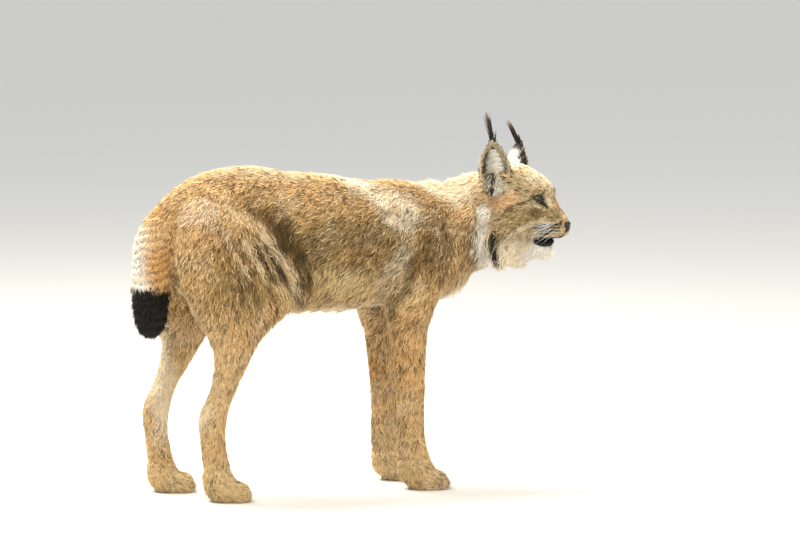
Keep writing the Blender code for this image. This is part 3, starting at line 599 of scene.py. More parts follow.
def eye_axes(way):
    """Centre of an eye and its axes in the head's frame: line of sight, along the opening, up."""
    turn = Matrix.Rotation(way * EYE_LOOK, 3, "Z") @ Matrix.Rotation(way * EYE_SLANT, 3, "X")
    return np.array((EYE_PLACE.x, way * EYE_PLACE.y, EYE_PLACE.z)), np.array(turn)


def opening_of(across, high):
    """Under 1 inside the almond between the lids, over 1 outside it."""
    along = np.clip(np.abs(across) / EYE_HALF_WIDTH, 0, 3)
    limit = np.where(high > 0, UPPER_LID, LOWER_LID) * np.maximum(1 - along**2, 0.02)
    return np.where(along < 1, np.abs(high) / limit, 1 + along)


def set_lids(points):
    for way in (1, -1):
        centre, axes = eye_axes(way)
        local = (points - centre) @ axes
        reach = np.linalg.norm(local, axis=1)
        on_ball = local / np.maximum(reach, 1e-9)[:, None] * EYE_RADIUS
        facing = on_ball[:, 0] / EYE_RADIUS
        near_eye = (reach < 0.026) & (facing > 0)
        inside = opening_of(on_ball[:, 1], on_ball[:, 2]) < 1
        lid = LID_RADIUS - 0.006 * (1 - ramp(facing, -0.1, 0.72))
        wanted = np.where(inside & (facing > 0.3), BEHIND_EYE, np.maximum(reach, lid))
        scale = np.where(near_eye, wanted / np.maximum(reach, 1e-9), 1)
        points = centre + (local * scale[:, None]) @ axes.T
    return points


# %% [markdown]
# ## Mouth and muzzle
# The mouth is a little open between full whisker pads and a small chin. A Boolean cut would leave sharp
# edges, so the skin is drawn in between the lines of the two lips. Soft pushes then form the pads, chin, brow
# and nose.
# %% The line of the mouth
MOUTH_CORNER = (-67, 27, -31)
UPPER_LIP = ((-17, 0, -20), (-19, 7, -23), (-28, 15, -29), (-42, 20, -31), (-55, 24, -31), MOUTH_CORNER)
LOWER_LIP = ((-34, 0, -39), (-36, 8, -39), (-45, 15, -39), (-57, 21, -37), MOUTH_CORNER)

LIP_PAIRS = (  # places of the upper and lower lip that face each other
    ((-18, 0, -19), (-36, 0, -38)),
    ((-24, 11, -23), (-40, 10, -38)),
    ((-42, 20, -30), (-46, 15, -38)),
    ((-55, 24, -31), (-57, 21, -36)),
    (MOUTH_CORNER, MOUTH_CORNER),
)
MOUTH_MIDDLE = curve_through(np.mean(LIP_PAIRS, axis=1))
BEHIND_MOUTH = np.array((-0.075, 0, -0.030))


def set_mouth(points):
    """Draws the skin in between the lips."""
    near = np.where((points[:, 0] > -0.08) & (points[:, 2] < 0))[0]
    gap = distance_to(halved(points[near]), MOUTH_MIDDLE)
    points[near] += unit(BEHIND_MOUTH - points[near]) * (swelling(gap, 0.0055) * 0.0065)[:, None]
    return points


# %% Soft pushes on the face
FACE_FORMS = (  # place, way, amount and width in mm of soft pushes, for the left side
    ((-50, 27, 58), (0.7, 0.3, 0.6), 2.4, 9),
    ((-38, 12, 44), (0.3, 1, 0.2), -1.6, 8),
    ((-26, 17, -10), (0.3, 1, -0.3), 4.0, 10),
    ((-24, 9, -18), (0.1, 0.1, -1), 4.0, 9),
    ((-40, 20, -22), (0.0, 0.4, -1), 5.5, 10),
    ((-56, 25, -26), (0.0, 0.3, -1), 3.5, 9),
    ((-30, 20, 8), (0.2, 1, 0.2), -0.8, 8),
    ((-52, 36, 26), (0.4, 0.9, 0.1), -0.8, 9),
    ((-46, 0, -52), (1, 0, -0.8), 4.5, 13),
    ((-50, 12, -54), (0.5, 0.4, -1), 4.5, 13),
    ((-122, 66, 82), (0.4, 0.75, 0.45), -10, 15),
)


def set_forms(points):
    for place, way, amount, width in FACE_FORMS:
        for side in (1, -1):
            flip = np.array((1, side, 1))
            gap = np.linalg.norm(points - np.array(place) * MM * flip, axis=1)
            push = np.array(way, float) * flip
            push *= amount * MM / np.linalg.norm(push)
            points = points + swelling(gap, width * MM)[:, None] * push
    return points


face = to_head(points_of(skin.data))
near_face = np.where((face[:, 0] > -0.17) & (np.abs(face[:, 1]) < 0.10) & (np.abs(face[:, 2]) < 0.13))[0]
face[near_face] = set_lids(set_mouth(set_forms(face[near_face])))
set_points(skin.data, from_head(face))


# %% [markdown]
# ## The ears
# A lynx's ear is an open cup that narrows to a point, with a thin wall. A cone hollowed by a Boolean would
# have an uneven wall. So the ear is a sheet bent round its own long line and thickened. It is joined to the
# skin in one Boolean, so that skin and ears are one closed body.
# %% Ear cups
EAR_BASE = (-134, 55, 80)
EAR_TIP = (-135, 70, 149)
EAR_OPENING = radians(60)
EAR_WALL = 0.0026
# share of the length, half width, depth of the cup, how far it wraps round in degrees
EAR_ROWS = np.array((
    (-0.30, 12, 6, 118),
    (-0.12, 22, 14, 116),
    (0.04, 27.0, 19, 110),
    (0.22, 28.0, 18.5, 100),
    (0.45, 25.5, 15, 88),
    (0.66, 20.5, 11, 80),
    (0.84, 13.5, 6.5, 74),
    (0.94, 6.5, 2.6, 70),
))


def ear_axes(way):
    """Base, along the ear, out of its opening and across it, in the head's frame."""
    flip = np.array((1, way, 1))
    base, tip = np.array(EAR_BASE) * MM * flip, np.array(EAR_TIP) * MM * flip
    along = tip - base
    out = np.array((cos(EAR_OPENING), way * sin(EAR_OPENING), 0))
    out = out - along * (out @ along) / (along @ along)
    out = out / np.linalg.norm(out)
    return base, along, out, np.cross(along / np.linalg.norm(along), out)


def ear_point(way, share, turn):
    """A point of the ear's sheet, turn in degrees from the middle of its back."""
    base, along, out, across = ear_axes(way)
    half, depth = (np.interp(share, EAR_ROWS[:, 0], EAR_ROWS[:, k]) * MM for k in (1, 2))
    return base + along * share + across * (half * sin(radians(turn))) - out * (depth * cos(radians(turn)))


def ear_wrap(share):
    return np.interp(share, EAR_ROWS[:, 0], EAR_ROWS[:, 3])


# %% Ears joined to the skin
def ear_cup(way, rows=34, columns=27):
    sheet = [[ear_point(way, share, turn) for turn in np.linspace(-ear_wrap(share), ear_wrap(share), columns)]
        for share in np.linspace(EAR_ROWS[0, 0], EAR_ROWS[-1, 0], rows)]
    points = from_head(np.array(sheet).reshape(-1, 3))
    faces = [(r * columns + c, r * columns + c + 1, (r + 1) * columns + c + 1, (r + 1) * columns + c)
        for r in range(rows - 1) for c in range(columns - 1)]
    ear = add(f"ear_{way}", mesh_from("ear", points, faces))
    wall = ear.modifiers.new("Wall", "SOLIDIFY")
    wall.thickness = EAR_WALL
    wall.offset = 0
    soften(ear, 2)
    face_outwards(ear.data)
    return ear


ears = bpy.data.collections.new("ears")
scene.collection.children.link(ears)
for way in (1, -1):
    ears.objects.link(ear_cup(way))
join = skin.modifiers.new("Ears", "BOOLEAN")
join.operation = "UNION"
join.operand_type = "COLLECTION"
join.collection = ears
join.solver = "MANIFOLD"
settle(skin)
for ear in list(ears.objects):
    bpy.data.objects.remove(ear)
largest_shell(skin.data)
print("skin faces with ears", len(skin.data.polygons))

# %% [markdown]
# ## Unwrap
# Every face needs its own place on a flat sheet, so that its finish can be baked to an image. Seams
# could be marked by hand, but the coat hides them, so Blender's smart projection is enough.
# %% Unwrap of the skin
bpy.ops.object.select_all(action="DESELECT")
skin.select_set(True)
bpy.context.view_layer.objects.active = skin
skin.data.uv_layers.new(name="OFBake")
bpy.ops.object.mode_set(mode="EDIT")
bpy.ops.mesh.select_all(action="SELECT")
bpy.ops.uv.smart_project(angle_limit=radians(66), island_margin=0.002)
bpy.ops.object.mode_set(mode="OBJECT")
skin.data.shade_smooth()


# %% [markdown]
# ## Colours
# A lynx is sandy buff under an olive grey saddle, cream below, white beside the mouth, and black on the tips
# of its ears and tail. Each colour could be typed as linear numbers, but nobody can picture those. So they
# are sRGB hex values, as in any paint program, and one function turns them to linear light.
# %% Palette
def linear(code):
    """sRGB hex to linear light."""
    s = np.array([int(code[i : i + 2], 16) for i in (1, 3, 5)]) / 255
    return np.where(s <= 0.04045, s / 12.92, ((s + 0.055) / 1.055) ** 2.4)


BUFF = "#cfab76"
SANDY = "#e0c08f"
PALE = "#ecd8b2"
CREAM = "#f4e8ce"
WHITE = "#f8f5ef"
OLIVE = "#93794a"
BROWN = "#6d5430"
DARK = "#33261a"
RUST = "#e4b685"
ORANGE = "#d6a564"
TAN = "#c09158"
PINKISH = "#ead3b6"
ASH = "#cbbda3"
HEAD_BUFF = "#c2ad84"
BLACK = "#14110f"
STRAW = "#efd8b0"
SHADOW = "#51401f"
FLANK_BUFF = "#e2c892"
PAW_BUFF = "#f2d6a2"
NECK_TOP_PAINTED_LIGHT = "#fbeed2"
NECK_PAINTED_SHADE = "#7d653b"
RUMP_ORANGE = "#f3bd78"
RUMP_LIGHT = "#ffdba4"
TAIL_REAR_PALE_AND_RIM_LIGHT = "#fffaf0"
CHEEK_RUST = "#f3c896"
CHEEK_OLIVE = "#9d8350"
EYE_PAINTED_SHADE = "#705a33"
PAD_GREY = "#cfc29c"
EAR_FOOT_GREY = "#b7b09a"
THIGH_LIGHT = "#f0dab2"
SHOULDER_CREAM_AND_TOP_LIGHT = "#faf0da"

# %% [markdown]
# ## Markings
# A lynx has soft changes of ground colour, and streaks, bars and rims that are sharper. They could be painted
# on an unwrapped image, but then they would stop at the skin. So the coat has one colour for each place: soft
# patches and then streaks are laid over a ground colour in the order of the lists. Skin and tufts both ask
# the same function, so a marking goes right through the coat. Places are in the body's or the head's frame,
# and "side" is the body's frame seen flat from the side, so that depth counts less.
# Some patches and streaks are painted light and shade: lighter tops where light falls from above, and darker
# creases.
# %% Soft patches
# frame, centre and radii in millimetres for the left side, colour, strength
MARKINGS = (
    # painted light: the top of the back lighter, as lit from above
    ("body", (0, 0, 628), (430, 78, 52), PALE, 0.75),
    ("body", (-20, 120, 466), (215, 70, 98), OLIVE, 0.86),
    ("body", (-20, 105, 385), (190, 60, 52), FLANK_BUFF, 0.85),
    ("body", (165, 95, 430), (55, 60, 100), TAN, 0.5),
    ("body", (165, 95, 455), (62, 50, 85), OLIVE, 0.5),
    ("body", (-330, 0, 600), (90, 80, 60), SANDY, 0.8),
    ("body", (-325, 80, 546), (48, 50, 26), PINKISH, 0.85),
    ("body", (-280, 140, 450), (120, 80, 120), BUFF, 0.8),
    ("body", (-262, 135, 430), (80, 60, 85), OLIVE, 0.85),
    ("body", (0, 0, 325), (250, 85, 50), CREAM, 0.9),
    ("body", (-200, 0, 380), (150, 60, 70), CREAM, 0.9),
    ("body", (245, 0, 400), (60, 60, 60), PALE, 0.7),
    ("body", (190, 0, 360), (60, 60, 45), CREAM, 0.8),
    ("body", (105, 80, 240), (70, 90, 170), ORANGE, 0.45),
    ("body", (-290, 80, 230), (100, 90, 130), SANDY, 0.85),
    ("body", (-370, 90, 290), (55, 60, 120), CREAM, 0.85),
    ("body", (-340, 85, 190), (40, 60, 110), CREAM, 0.7),
    ("body", (110, 30, 270), (60, 30, 120), SANDY, 0.6),
    ("body", (105, 80, 140), (60, 70, 90), SANDY, 0.5),
    ("body", (125, 68, 0), (85, 70, 105), PAW_BUFF, 0.8),
    ("body", (-290, 80, 0), (120, 70, 105), PAW_BUFF, 0.8),
    # painted light: the top of the neck lighter, as lit from above
    ("body", (215, 0, 592), (90, 80, 72), NECK_TOP_PAINTED_LIGHT, 0.92),
    # painted shade: a darker patch on the side of the neck
    ("body", (238, 82, 468), (26, 50, 62), NECK_PAINTED_SHADE, 0.8),
    ("body", (-385, 0, 470), (45, 60, 130), RUMP_ORANGE, 0.95),
    ("body", (-384, 10, 510), (38, 60, 52), RUMP_LIGHT, 0.9),
    # partly the tail's pale rear hair, partly painted rim light from behind
    ("body", (-434, 0, 460), (52, 62, 160), TAIL_REAR_PALE_AND_RIM_LIGHT, 1.0),
    ("head", (-95, 0, 20), (115, 110, 120), HEAD_BUFF, 1.0),
    ("head", (-66, 0, 86), (48, 50, 38), ASH, 0.7),
    ("head", (-120, 0, 112), (40, 50, 26), CREAM, 0.7),
    ("head", (-112, 57, 44), (36, 30, 24), CHEEK_RUST, 0.85),
    ("head", (-80, 55, 10), (40, 34, 24), CHEEK_OLIVE, 0.7),
    ("head", (-100, 64, -24), (26, 30, 26), OLIVE, 0.4),
    # painted shade: a darker patch below and beside the eye
    ("head", (-56, 38, 20), (23, 18, 14), EYE_PAINTED_SHADE, 0.9),
    ("head", (-32, 20, 14), (22, 18, 14), OLIVE, 0.75),
    ("head", (-30, 6, 30), (16, 12, 16), TAN, 0.6),
    ("head", (-18, 0, 12), (12, 12, 10), RUST, 0.6),
    ("head", (-95, 40, -60), (62, 60, 42), CREAM, 0.95),
    ("head", (-55, 0, -60), (55, 50, 38), WHITE, 0.95),
    ("head", (-32, 24, -13), (27, 22, 12), PAD_GREY, 0.95),
    ("head", (-112, 60, 66), (17, 16, 17), EAR_FOOT_GREY, 0.8),
)
# %% Streaks, bars and rims
LIP_SKIN = ((-60, 22, -38), (-50, 19, -41.5), (-42, 14, -42), (-35, 4, -41))
STREAKS = (  # frame, a line of points, half width in mm, colour, strength
    ("body", ((-208, 88, 536), (-168, 91, 514), (-140, 93, 478), (-124, 92, 430), (-116, 90, 396)),
        26, SHADOW, 0.95),
    # painted highlight: a pale band on the thigh's front edge, where it catches the light, just behind the
    # shadow of the crease
    ("body", ((-262, 90, 548), (-226, 102, 517), (-197, 106, 484), (-166, 106, 444), (-142, 100, 398)),
        13, PALE, 0.85),
    ("side", ((-292, 118, 526), (-275, 120, 486)), 3.8, BROWN, 0.9),
    ("side", ((-279, 118, 515), (-262, 122, 470), (-250, 124, 440)), 4.8, THIGH_LIGHT, 0.85),
    ("side", ((-268, 120, 497), (-254, 123, 468), (-241, 125, 436)), 4.2, BROWN, 0.95),
    ("side", ((-246, 120, 492), (-230, 123, 455), (-216, 125, 425)), 5.2, THIGH_LIGHT, 0.85),
    ("side", ((-228, 118, 482), (-214, 120, 454), (-199, 122, 426)), 4.4, DARK, 0.9),
    ("side", ((-211, 118, 483), (-192, 118, 457), (-172, 118, 428)), 4.2, DARK, 0.9),
    ("side", ((-186, 118, 440), (-158, 115, 405), (-132, 110, 372)), 4.6, DARK, 0.85),
    ("side", ((-248, 128, 432), (-236, 130, 405), (-224, 130, 380)), 4.4, BROWN, 0.9),
    ("side", ((-205, 124, 412), (-192, 122, 384), (-180, 118, 356)), 4.4, BROWN, 0.9),
    ("side", ((-272, 130, 455), (-263, 132, 425), (-254, 132, 398)), 4.4, BROWN, 0.85),
    # partly cream hair, partly painted light on the top of the shoulder
    ("body", ((22, 30, 590), (48, 42, 572), (70, 62, 550), (88, 80, 520)), 30, SHOULDER_CREAM_AND_TOP_LIGHT, 0.95),
    ("body", ((92, 84, 520), (96, 90, 485), (83, 92, 459), (64, 90, 430), (57, 80, 395)), 15, ASH, 0.75),
    # painted shade in the crease along the shoulder's edge
    ("body", ((122, 88, 500), (122, 92, 480), (114, 94, 458), (98, 94, 440), (88, 93, 418), (80, 92, 395)),
        13, BROWN, 0.9),
    ("body", ((66, 84, 372), (68, 89, 346)), 16, BROWN, 0.7),
    ("body", ((165, 84, 535), (160, 98, 480), (135, 104, 430)), 26, BROWN, 0.55),
    # painted shade in the crease between the tail and the thigh
    ("body", ((-366, 52, 510), (-365, 62, 482), (-358, 60, 452), (-347, 46, 418)), 10, DARK, 0.95),
    ("body", ((85, 40, 340), (128, 38, 334)), 6, DARK, 0.7),
    ("body", ((85, 40, 306), (126, 38, 300)), 5, DARK, 0.6),
    ("body", ((88, 42, 272), (124, 40, 266)), 5, DARK, 0.5),
    ("head", ((-60, 40, 46), (-73, 48, 38), (-88, 53, 34), (-103, 55, 22), (-117, 56, 10)),
        2.8, BROWN, 0.9),
    ("head", ((-47, 24, 37), (-42, 21, 33), (-37.5, 19, 29)), 2.8, BLACK, 0.95),
    ("head", ((-64, 42, 40), (-56, 38, 33), (-49, 30, 28), (-42, 23, 26)), 1.7, PALE, 0.8),
    ("head", ((-40, 13.6, 46), (-36, 13, 38), (-32, 12, 32)), 2.6, CREAM, 0.8),
    ("head", ((-41, 10.5, 50), (-37.6, 4, 45)), 2.2, OLIVE, 0.7),
    ("head", ((-61, 40, 58), (-51, 33, 62), (-44, 21, 58)), 2.6, OLIVE, 0.8),
    ("head", ((-46, 17, 62), (-54, 15, 76)), 2.2, BROWN, 0.5),
    ("head", ((-58, 37, -3), (-45, 30.5, -3), (-30, 27, -3.5), (-17, 20, -2)), 2.3, BLACK, 1.0),
    ("head", ((-56, 32, -9), (-45, 27.5, -9.3), (-30, 28.7, -9.3), (-14, 19, -8)), 2.3, BLACK, 1.0),
    ("head", ((-54, 28, -15), (-45, 25, -15.3), (-30, 28.2, -15), (-14, 18, -13.5)), 2.3, BLACK, 1.0),
    ("head", ((-50, 24, -21), (-45, 23, -21.2), (-34, 25, -21), (-20, 18, -19)), 2.0, BLACK, 0.95),
    ("head", ((-43, 27, 3), (-64, 45, -4), (-86, 60, -19), (-106, 63, -33)), 4.0, CREAM, 0.6),
    ("head", ((-66, 44, -14), (-88, 58, -30), (-104, 62, -46)), 2.2, OLIVE, 0.5),
    ("head", ((-149, 62, 24), (-149, 60, 0), (-149, 60, -24), (-150, 60, -46), (-147, 45, -80)),
        13, WHITE, 1.0),
    ("head", ((-123, 73, -16), (-124, 71, -40), (-125, 64, -68)), 6.3, BLACK, 1.0),
    ("head", LIP_SKIN, 3.6, BLACK, 1.0),
    ("head", ((-140, 58, 84), (-137, 63, 58)), 5, DARK, 0.8),
    ("head", ((-12, 12, 3), (-13.5, 12, -6), (-15, 8, -14), (-16, 4, -18)), 2.6, BLACK, 0.9),
)

# %% Lids, toes, mouth and tail
tip_low, tip_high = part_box("tail_tip")
TAIL_BLACK_HEIGHT = tip_high.z + 0.012
TAIL_FOOT_HEIGHT = 0.28  # nothing of the tail hangs lower
TAIL_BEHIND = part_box("tail")[1].x
TAIL_MIDDLE = (tip_low.y + tip_high.y) / 2
TAIL_REACH = (tip_high.y - tip_low.y) / 2 + 0.003


def laid_over(colour, share, code):
    return colour + (linear(code) - colour) * share[:, None]


def patch_gap(points, centre, radii):
    """0 in the middle of a soft patch and 1 at its edge. Centre and radii are in millimetres."""
    return np.linalg.norm((points - np.array(centre) * MM) / (np.array(radii) * MM), axis=1)


def eye_gap(points):
    """How far outside the lids' opening each point of the head is, in metres, on the nearer eye."""
    centre, axes = eye_axes(1)
    local = (halved(points) - centre) @ axes
    limit = np.where(local[:, 2] > 0, UPPER_LID, LOWER_LID)
    flat = np.stack([local[:, 1] / EYE_HALF_WIDTH, local[:, 2] / limit], axis=1)
    gap = (np.linalg.norm(flat, axis=1) - 1) * limit
    return np.where((local[:, 0] > 0) & (np.linalg.norm(local, axis=1) < 0.03), gap, 1)


def toe_groove_shade(points):
    """1 in the grooves between the toes, where shade is painted, and 0 outside them."""
    share = np.zeros(len(points))
    for paw in PAWS:
        across, half, behind = paw_places(paw, points)
        here = (np.abs(across) < 1) & (behind > -0.02) & (points[:, 2] < 0.06)
        front = (1 - ramp(behind, 0.022, 0.040)) * here
        for place in TOE_GROOVES:
            share = np.maximum(share, swelling((across - place) * half, 0.0026) * front)
    return share


def in_mouth(half):
    """Whether points of the head, turned over to the left, lie between the lips."""
    upper, lower = (curve_through(rows, 6) for rows in (UPPER_LIP, LOWER_LIP))
    top = np.interp(half[:, 1], upper[:, 1], upper[:, 2])
    bottom = np.interp(half[:, 1], lower[:, 1], lower[:, 2])
    before = (half[:, 0] > MOUTH_CORNER[0] * MM) & (half[:, 1] < MOUTH_CORNER[1] * MM)
    return before & (half[:, 2] < top + 0.0006) & (half[:, 2] > bottom - 0.0006)


def black_of_tail(points):
    """1 on the black end of the tail, with an uneven edge above it."""
    beside = np.abs(points[:, 1] - TAIL_MIDDLE) < TAIL_REACH
    tip = beside & (points[:, 0] < TAIL_BEHIND) & (points[:, 2] < TAIL_BLACK_HEIGHT + 0.01)
    edge = points[:, 2] + ripple(points, 0.012, 3) * 0.005
    share = 1 - ramp(edge, TAIL_BLACK_HEIGHT - 0.006, TAIL_BLACK_HEIGHT + 0.004)
    return tip * share * (points[:, 2] > TAIL_FOOT_HEIGHT)


# %% The coat's colour
SQUASH = {"body": np.ones(3), "side": np.array((1, 0.3, 1)), "head": np.array((1, 0.25, 1))}
BROAD = 9  # streaks wider than this, in mm, break up into patches


def places_of(points):
    """The points in each frame, with a little wander so that no marking has an even edge."""
    wander = np.stack([ripple(points, 0.045, k) for k in range(3)], axis=1) * 0.016
    wander += np.stack([ripple(points, 0.016, k + 3) for k in range(3)], axis=1) * 0.005
    return {"body": halved(points + wander), "side": halved(points + wander * 0.3),
        "head": halved(to_head(points) + wander * 0.05)}


def coat_colour(points):
    """The coat's colour at every point, in linear light."""
    places = places_of(points)
    colour = np.tile(linear(BUFF), (len(points), 1))
    for where, centre, radii, code, strength in MARKINGS:
        gap = patch_gap(places[where], centre, radii)
        colour = laid_over(colour, strength * (1 - ramp(gap, 0.55, 1.12)), code)
    for where, line, width, code, strength in STREAKS:
        flat = SQUASH[where]
        gap = distance_to(places[where] * flat, curve_through(line, 6) * flat) / (width * MM)
        patchy = 1 - 0.5 * ramp(ripple(points, 0.017, 2), -0.1, 0.6) * (width > BROAD) * (where == "body")
        colour = laid_over(colour, strength * patchy * (1 - ramp(gap, 0.5, 1.6)), code)
    head = to_head(points)
    half = halved(head)
    colour = laid_over(colour, 0.9 * (1 - ramp(eye_gap(head), 0.0010, 0.0030)), BLACK)
    near_lips = np.minimum(*(distance_to(half, curve_through(lip, 6)) for lip in (UPPER_LIP, LOWER_LIP)))
    # the lips are black leather, and the skin between them is painted black as the shade inside the mouth
    colour = laid_over(colour, np.maximum(in_mouth(half), 1 - ramp(near_lips, 0.0012, 0.0024)), BLACK)
    # painted shade in the grooves between the toes
    colour = laid_over(colour, 0.75 * toe_groove_shade(points), BROWN)
    return laid_over(colour, black_of_tail(points), BLACK)


def paint(mesh, colours):
    layer = mesh.color_attributes.new(name="coat", type="FLOAT_COLOR", domain="POINT")
    rgba = np.ones((len(colours), 4), np.float32)
    rgba[:, :3] = colours
    layer.data.foreach_set("color", rgba.ravel())


CUP_HIDE = "#5b5246"
skin_points = points_of(skin.data)
ear_places = halved(to_head(skin_points))
near_ear = np.minimum.reduce([patch_gap(ear_places, (-134, 62, z), (24, 26, 30)) for z in (84, 104, 130)])
# the skin is painted at 0.6 of the coat's colour, as the shade deep between the tufts
paint(skin.data, laid_over(coat_colour(skin_points) * 0.6, 1 - ramp(near_ear, 0.85, 1.05), CUP_HIDE))
print("skin painted")


# %% [markdown]
# ## Tufts
# A tuft is a few dozen hairs that lie together. Flat cards with a see-through picture of hair would be
# cheaper, but they aren't solid and look thin from the side. Here a tuft is a closed three-sided blade: two
# edges against the skin and a ridge on top, bent once and drawn out to a point. All tufts of a piece are made
# in one go.
# %% Where tufts can grow
skin.data.calc_loop_triangles()
count = len(skin.data.loop_triangles)
corner = np.empty(count * 3, np.int32)
skin.data.loop_triangles.foreach_get("vertices", corner)
corner = corner.reshape(-1, 3)
loop = np.empty(count * 3, np.int32)
skin.data.loop_triangles.foreach_get("loops", loop)
loop = loop.reshape(-1, 3)
uv = np.empty(len(skin.data.loops) * 2)
skin.data.uv_layers["OFBake"].data.foreach_get("uv", uv)
uv = uv.reshape(-1, 2)
skin_normals = normals_of(skin.data)
A, B, C = (skin_points[corner[:, k]] for k in range(3))
cross = np.cross(B - A, C - A)
AREA = np.linalg.norm(cross, axis=1) / 2
CENTRE = (A + B + C) / 3
FACING = unit(cross)
HEAD_CENTRE = to_head(CENTRE)

node_names = sorted(frame["nodes"])
solid_points, solid_faces, face_node = [], [], []
for k, name in enumerate(node_names):
    mesh = frame["nodes"][name].data
    start = len(solid_points)
    solid_points += [v.co for v in mesh.vertices]
    solid_faces += [[start + i for i in p.vertices] for p in mesh.polygons]
    face_node += [k] * len(mesh.polygons)
solids = BVHTree.FromPolygons(solid_points, solid_faces)
NODE = np.array([face_node[solids.find_nearest(Vector(p))[2]] for p in CENTRE])
print("triangles of skin", count, "area in square metres", round(AREA.sum(), 3))


def is_node(*names):
    return np.isin(NODE, [node_names.index(name) for name in names])


# %% The tuft maker
SINK = 0.0015  # how deep a root sits in the skin, at most
RIDGE = 0.42  # height of a blade as a share of its width
UV_PATCH = 0.003  # each tuft's place on the unwrap, beside that of its root


def blade_rings(roots, normals, lies, length, width, lift, bends, curl):
    """The points of each blade: a ring of three at its foot and at each bend, and the tip."""
    side = unit(np.cross(lies, normals))
    steep = np.clip(lift, 0.03, 1.4)[:, None]
    first = lies * np.cos(steep) + normals * np.sin(steep)
    late = lies * np.cos(steep * 0.30) + normals * np.sin(steep * 0.30)
    up = unit(np.cross(side, first))
    half, high = width[:, None] / 2, width[:, None] * RIDGE
    sway = side * np.broadcast_to(curl, len(roots))[:, None]
    start = roots - normals * np.minimum(SINK, length * 0.06)[:, None]
    rings = [(start, 0.75, 0.8)]
    for k in range(bends):
        share = (k + 1) / (bends + 1)
        way = first + (late - first) * share * 0.8 + sway * (1 - 2 * k / bends)
        start = rings[-1][0] + unit(way) * length[:, None] / (bends + 1)
        rings.append((start, 1.0 - 0.45 * share, 1.0 - 0.4 * share))
    last_way = late - sway * 1.6 if bends else first * 0.5 + late * 0.5
    tip = rings[-1][0] + unit(last_way) * length[:, None] / (bends + 1)
    points = []
    for centre, wide, thick in rings:
        points += [centre - side * half * wide, centre + side * half * wide, centre + up * high * thick]
    return np.stack([*points, tip], axis=1)


def blade_faces(bends):
    """The corners of one blade's faces."""
    corners = [(3 * r + k, 3 * r + (k + 1) % 3) for r in range(bends + 1) for k in range(3)]
    quads = [(a, b, b + 3, a + 3) for a, b in corners[:-3]]
    return quads + [(0, 2, 1)] + [(a, b, 3 * bends + 3) for a, b in corners[-3:]]


def tufts(name, roots, normals, lies, length, width, lift, colours, tips, uvs, bends=1, curl=0.0):
    """Closed blades as one object. bends is 0 for straight ones, and curl is how far they sway."""
    n = len(roots)
    points = blade_rings(roots, normals, lies, length, width, lift, bends, curl).reshape(-1, 3)
    points[:, 2] = np.maximum(points[:, 2], FLOOR_GAP)
    faces = blade_faces(bends)
    base = np.arange(n)[:, None] * (3 * bends + 4)
    loops = (base + np.array([i for face in faces for i in face])[None]).ravel()
    sizes = np.tile([len(face) for face in faces], n)
    mesh = bpy.data.meshes.new(name)
    mesh.vertices.add(len(points))
    mesh.vertices.foreach_set("co", points.ravel())
    mesh.loops.add(len(loops))
    mesh.loops.foreach_set("vertex_index", loops)
    mesh.polygons.add(len(sizes))
    mesh.polygons.foreach_set("loop_start", np.concatenate([[0], np.cumsum(sizes)[:-1]]))
    mesh.polygons.foreach_set("use_smooth", np.ones(len(sizes), bool))
    mesh.update(calc_edges=True)
    along = np.concatenate([np.repeat(np.arange(bends + 1) / (bends + 1), 3), [1.0]])
    # the colour runs from the root's to the tip's; most callers make roots darker, as painted shade deep in
    # the coat
    shade = colours[:, None, :] + (tips - colours)[:, None, :] * along[None, :, None]
    paint(mesh, shade.reshape(-1, 3))
    patch = np.concatenate([np.tile([-0.5, 0.5, 0], bends + 1), [0]])
    spot = uvs[:, None, :] + np.stack([patch, along - 0.5], axis=1)[None] * UV_PATCH
    layer = mesh.uv_layers.new(name="OFBake")
    layer.data.foreach_set("uv", np.clip(spot.reshape(-1, 2)[loops], 0, 1).ravel())
    triangles = n * (4 + 6 * bends)
    print(f"{name}: {n} tufts, {triangles} triangles")
    obj = add(name, mesh)
    obj["triangles"] = triangles
    return obj


# %% [markdown]
# ## The coat
# A lynx's coat is thick and combed by its own movement: it waves a little, and pale, dark and rusty hair tips
# give it a grizzled look. One piece for the whole coat would be too heavy to handle, so each region is a
# piece of its own. Roots are drawn at random over its triangles, the notes say how each tuft lies, and the
# markings colour it.
# %% Where the coat changes
def headward(points):
    """1 on the head, 0 on the body."""
    return 1 - ramp(np.linalg.norm(to_head(points) - np.array((-90, 0, 0)) * MM, axis=1), 0.11, 0.14)


def crests(points, period):
    """Rows of tufts across the tail: 1 on a row, -1 between two."""
    height = points[:, 2] - 0.20 * points[:, 0]
    return np.sin(height / period * 2 * pi + 2.6 * ripple(points, 0.026, 3) + 0.7 * ripple(points, 0.009, 1))


def held(colour):
    """The colours no lighter than near white, with their hue kept."""
    return colour / np.maximum(colour.max(axis=1) / 0.98, 1)[:, None]


# %% Places, lie and colours of the tufts
BLADE_SHARE = 0.55  # how much of its length times width a blade covers


def scattered(rng, index, weight, n):
    """Random places on the chosen triangles: roots, the skin's normals there, and places on the unwrap."""
    tri = index[rng.choice(len(index), n, p=weight / weight.sum())]
    r1, r2 = np.sqrt(rng.random(n)), rng.random(n)
    bary = np.stack([1 - r1, r1 * (1 - r2), r1 * r2], axis=1)[:, :, None]
    roots = (skin_points[corner[tri]] * bary).sum(axis=1)
    normals = unit((skin_normals[corner[tri]] * bary).sum(axis=1))
    return roots, normals, (uv[loop[tri]] * bary).sum(axis=1)


def combed(rng, roots, normals, ways, stray):
    """The ways that tufts lie: as the notes say, with soft waves, a little disorder, and flat on the skin."""
    sway = np.stack([ripple(roots, 0.012, k) for k in range(3)], axis=1) * 0.30
    sway += np.stack([ripple(roots, 0.050, k + 3) for k in range(3)], axis=1) * 0.25
    lies = unit(ways) + sway * stray / 0.2 + rng.normal(0, stray, roots.shape)
    return unit(lies - normals * (lies * normals).sum(axis=1, keepdims=True))


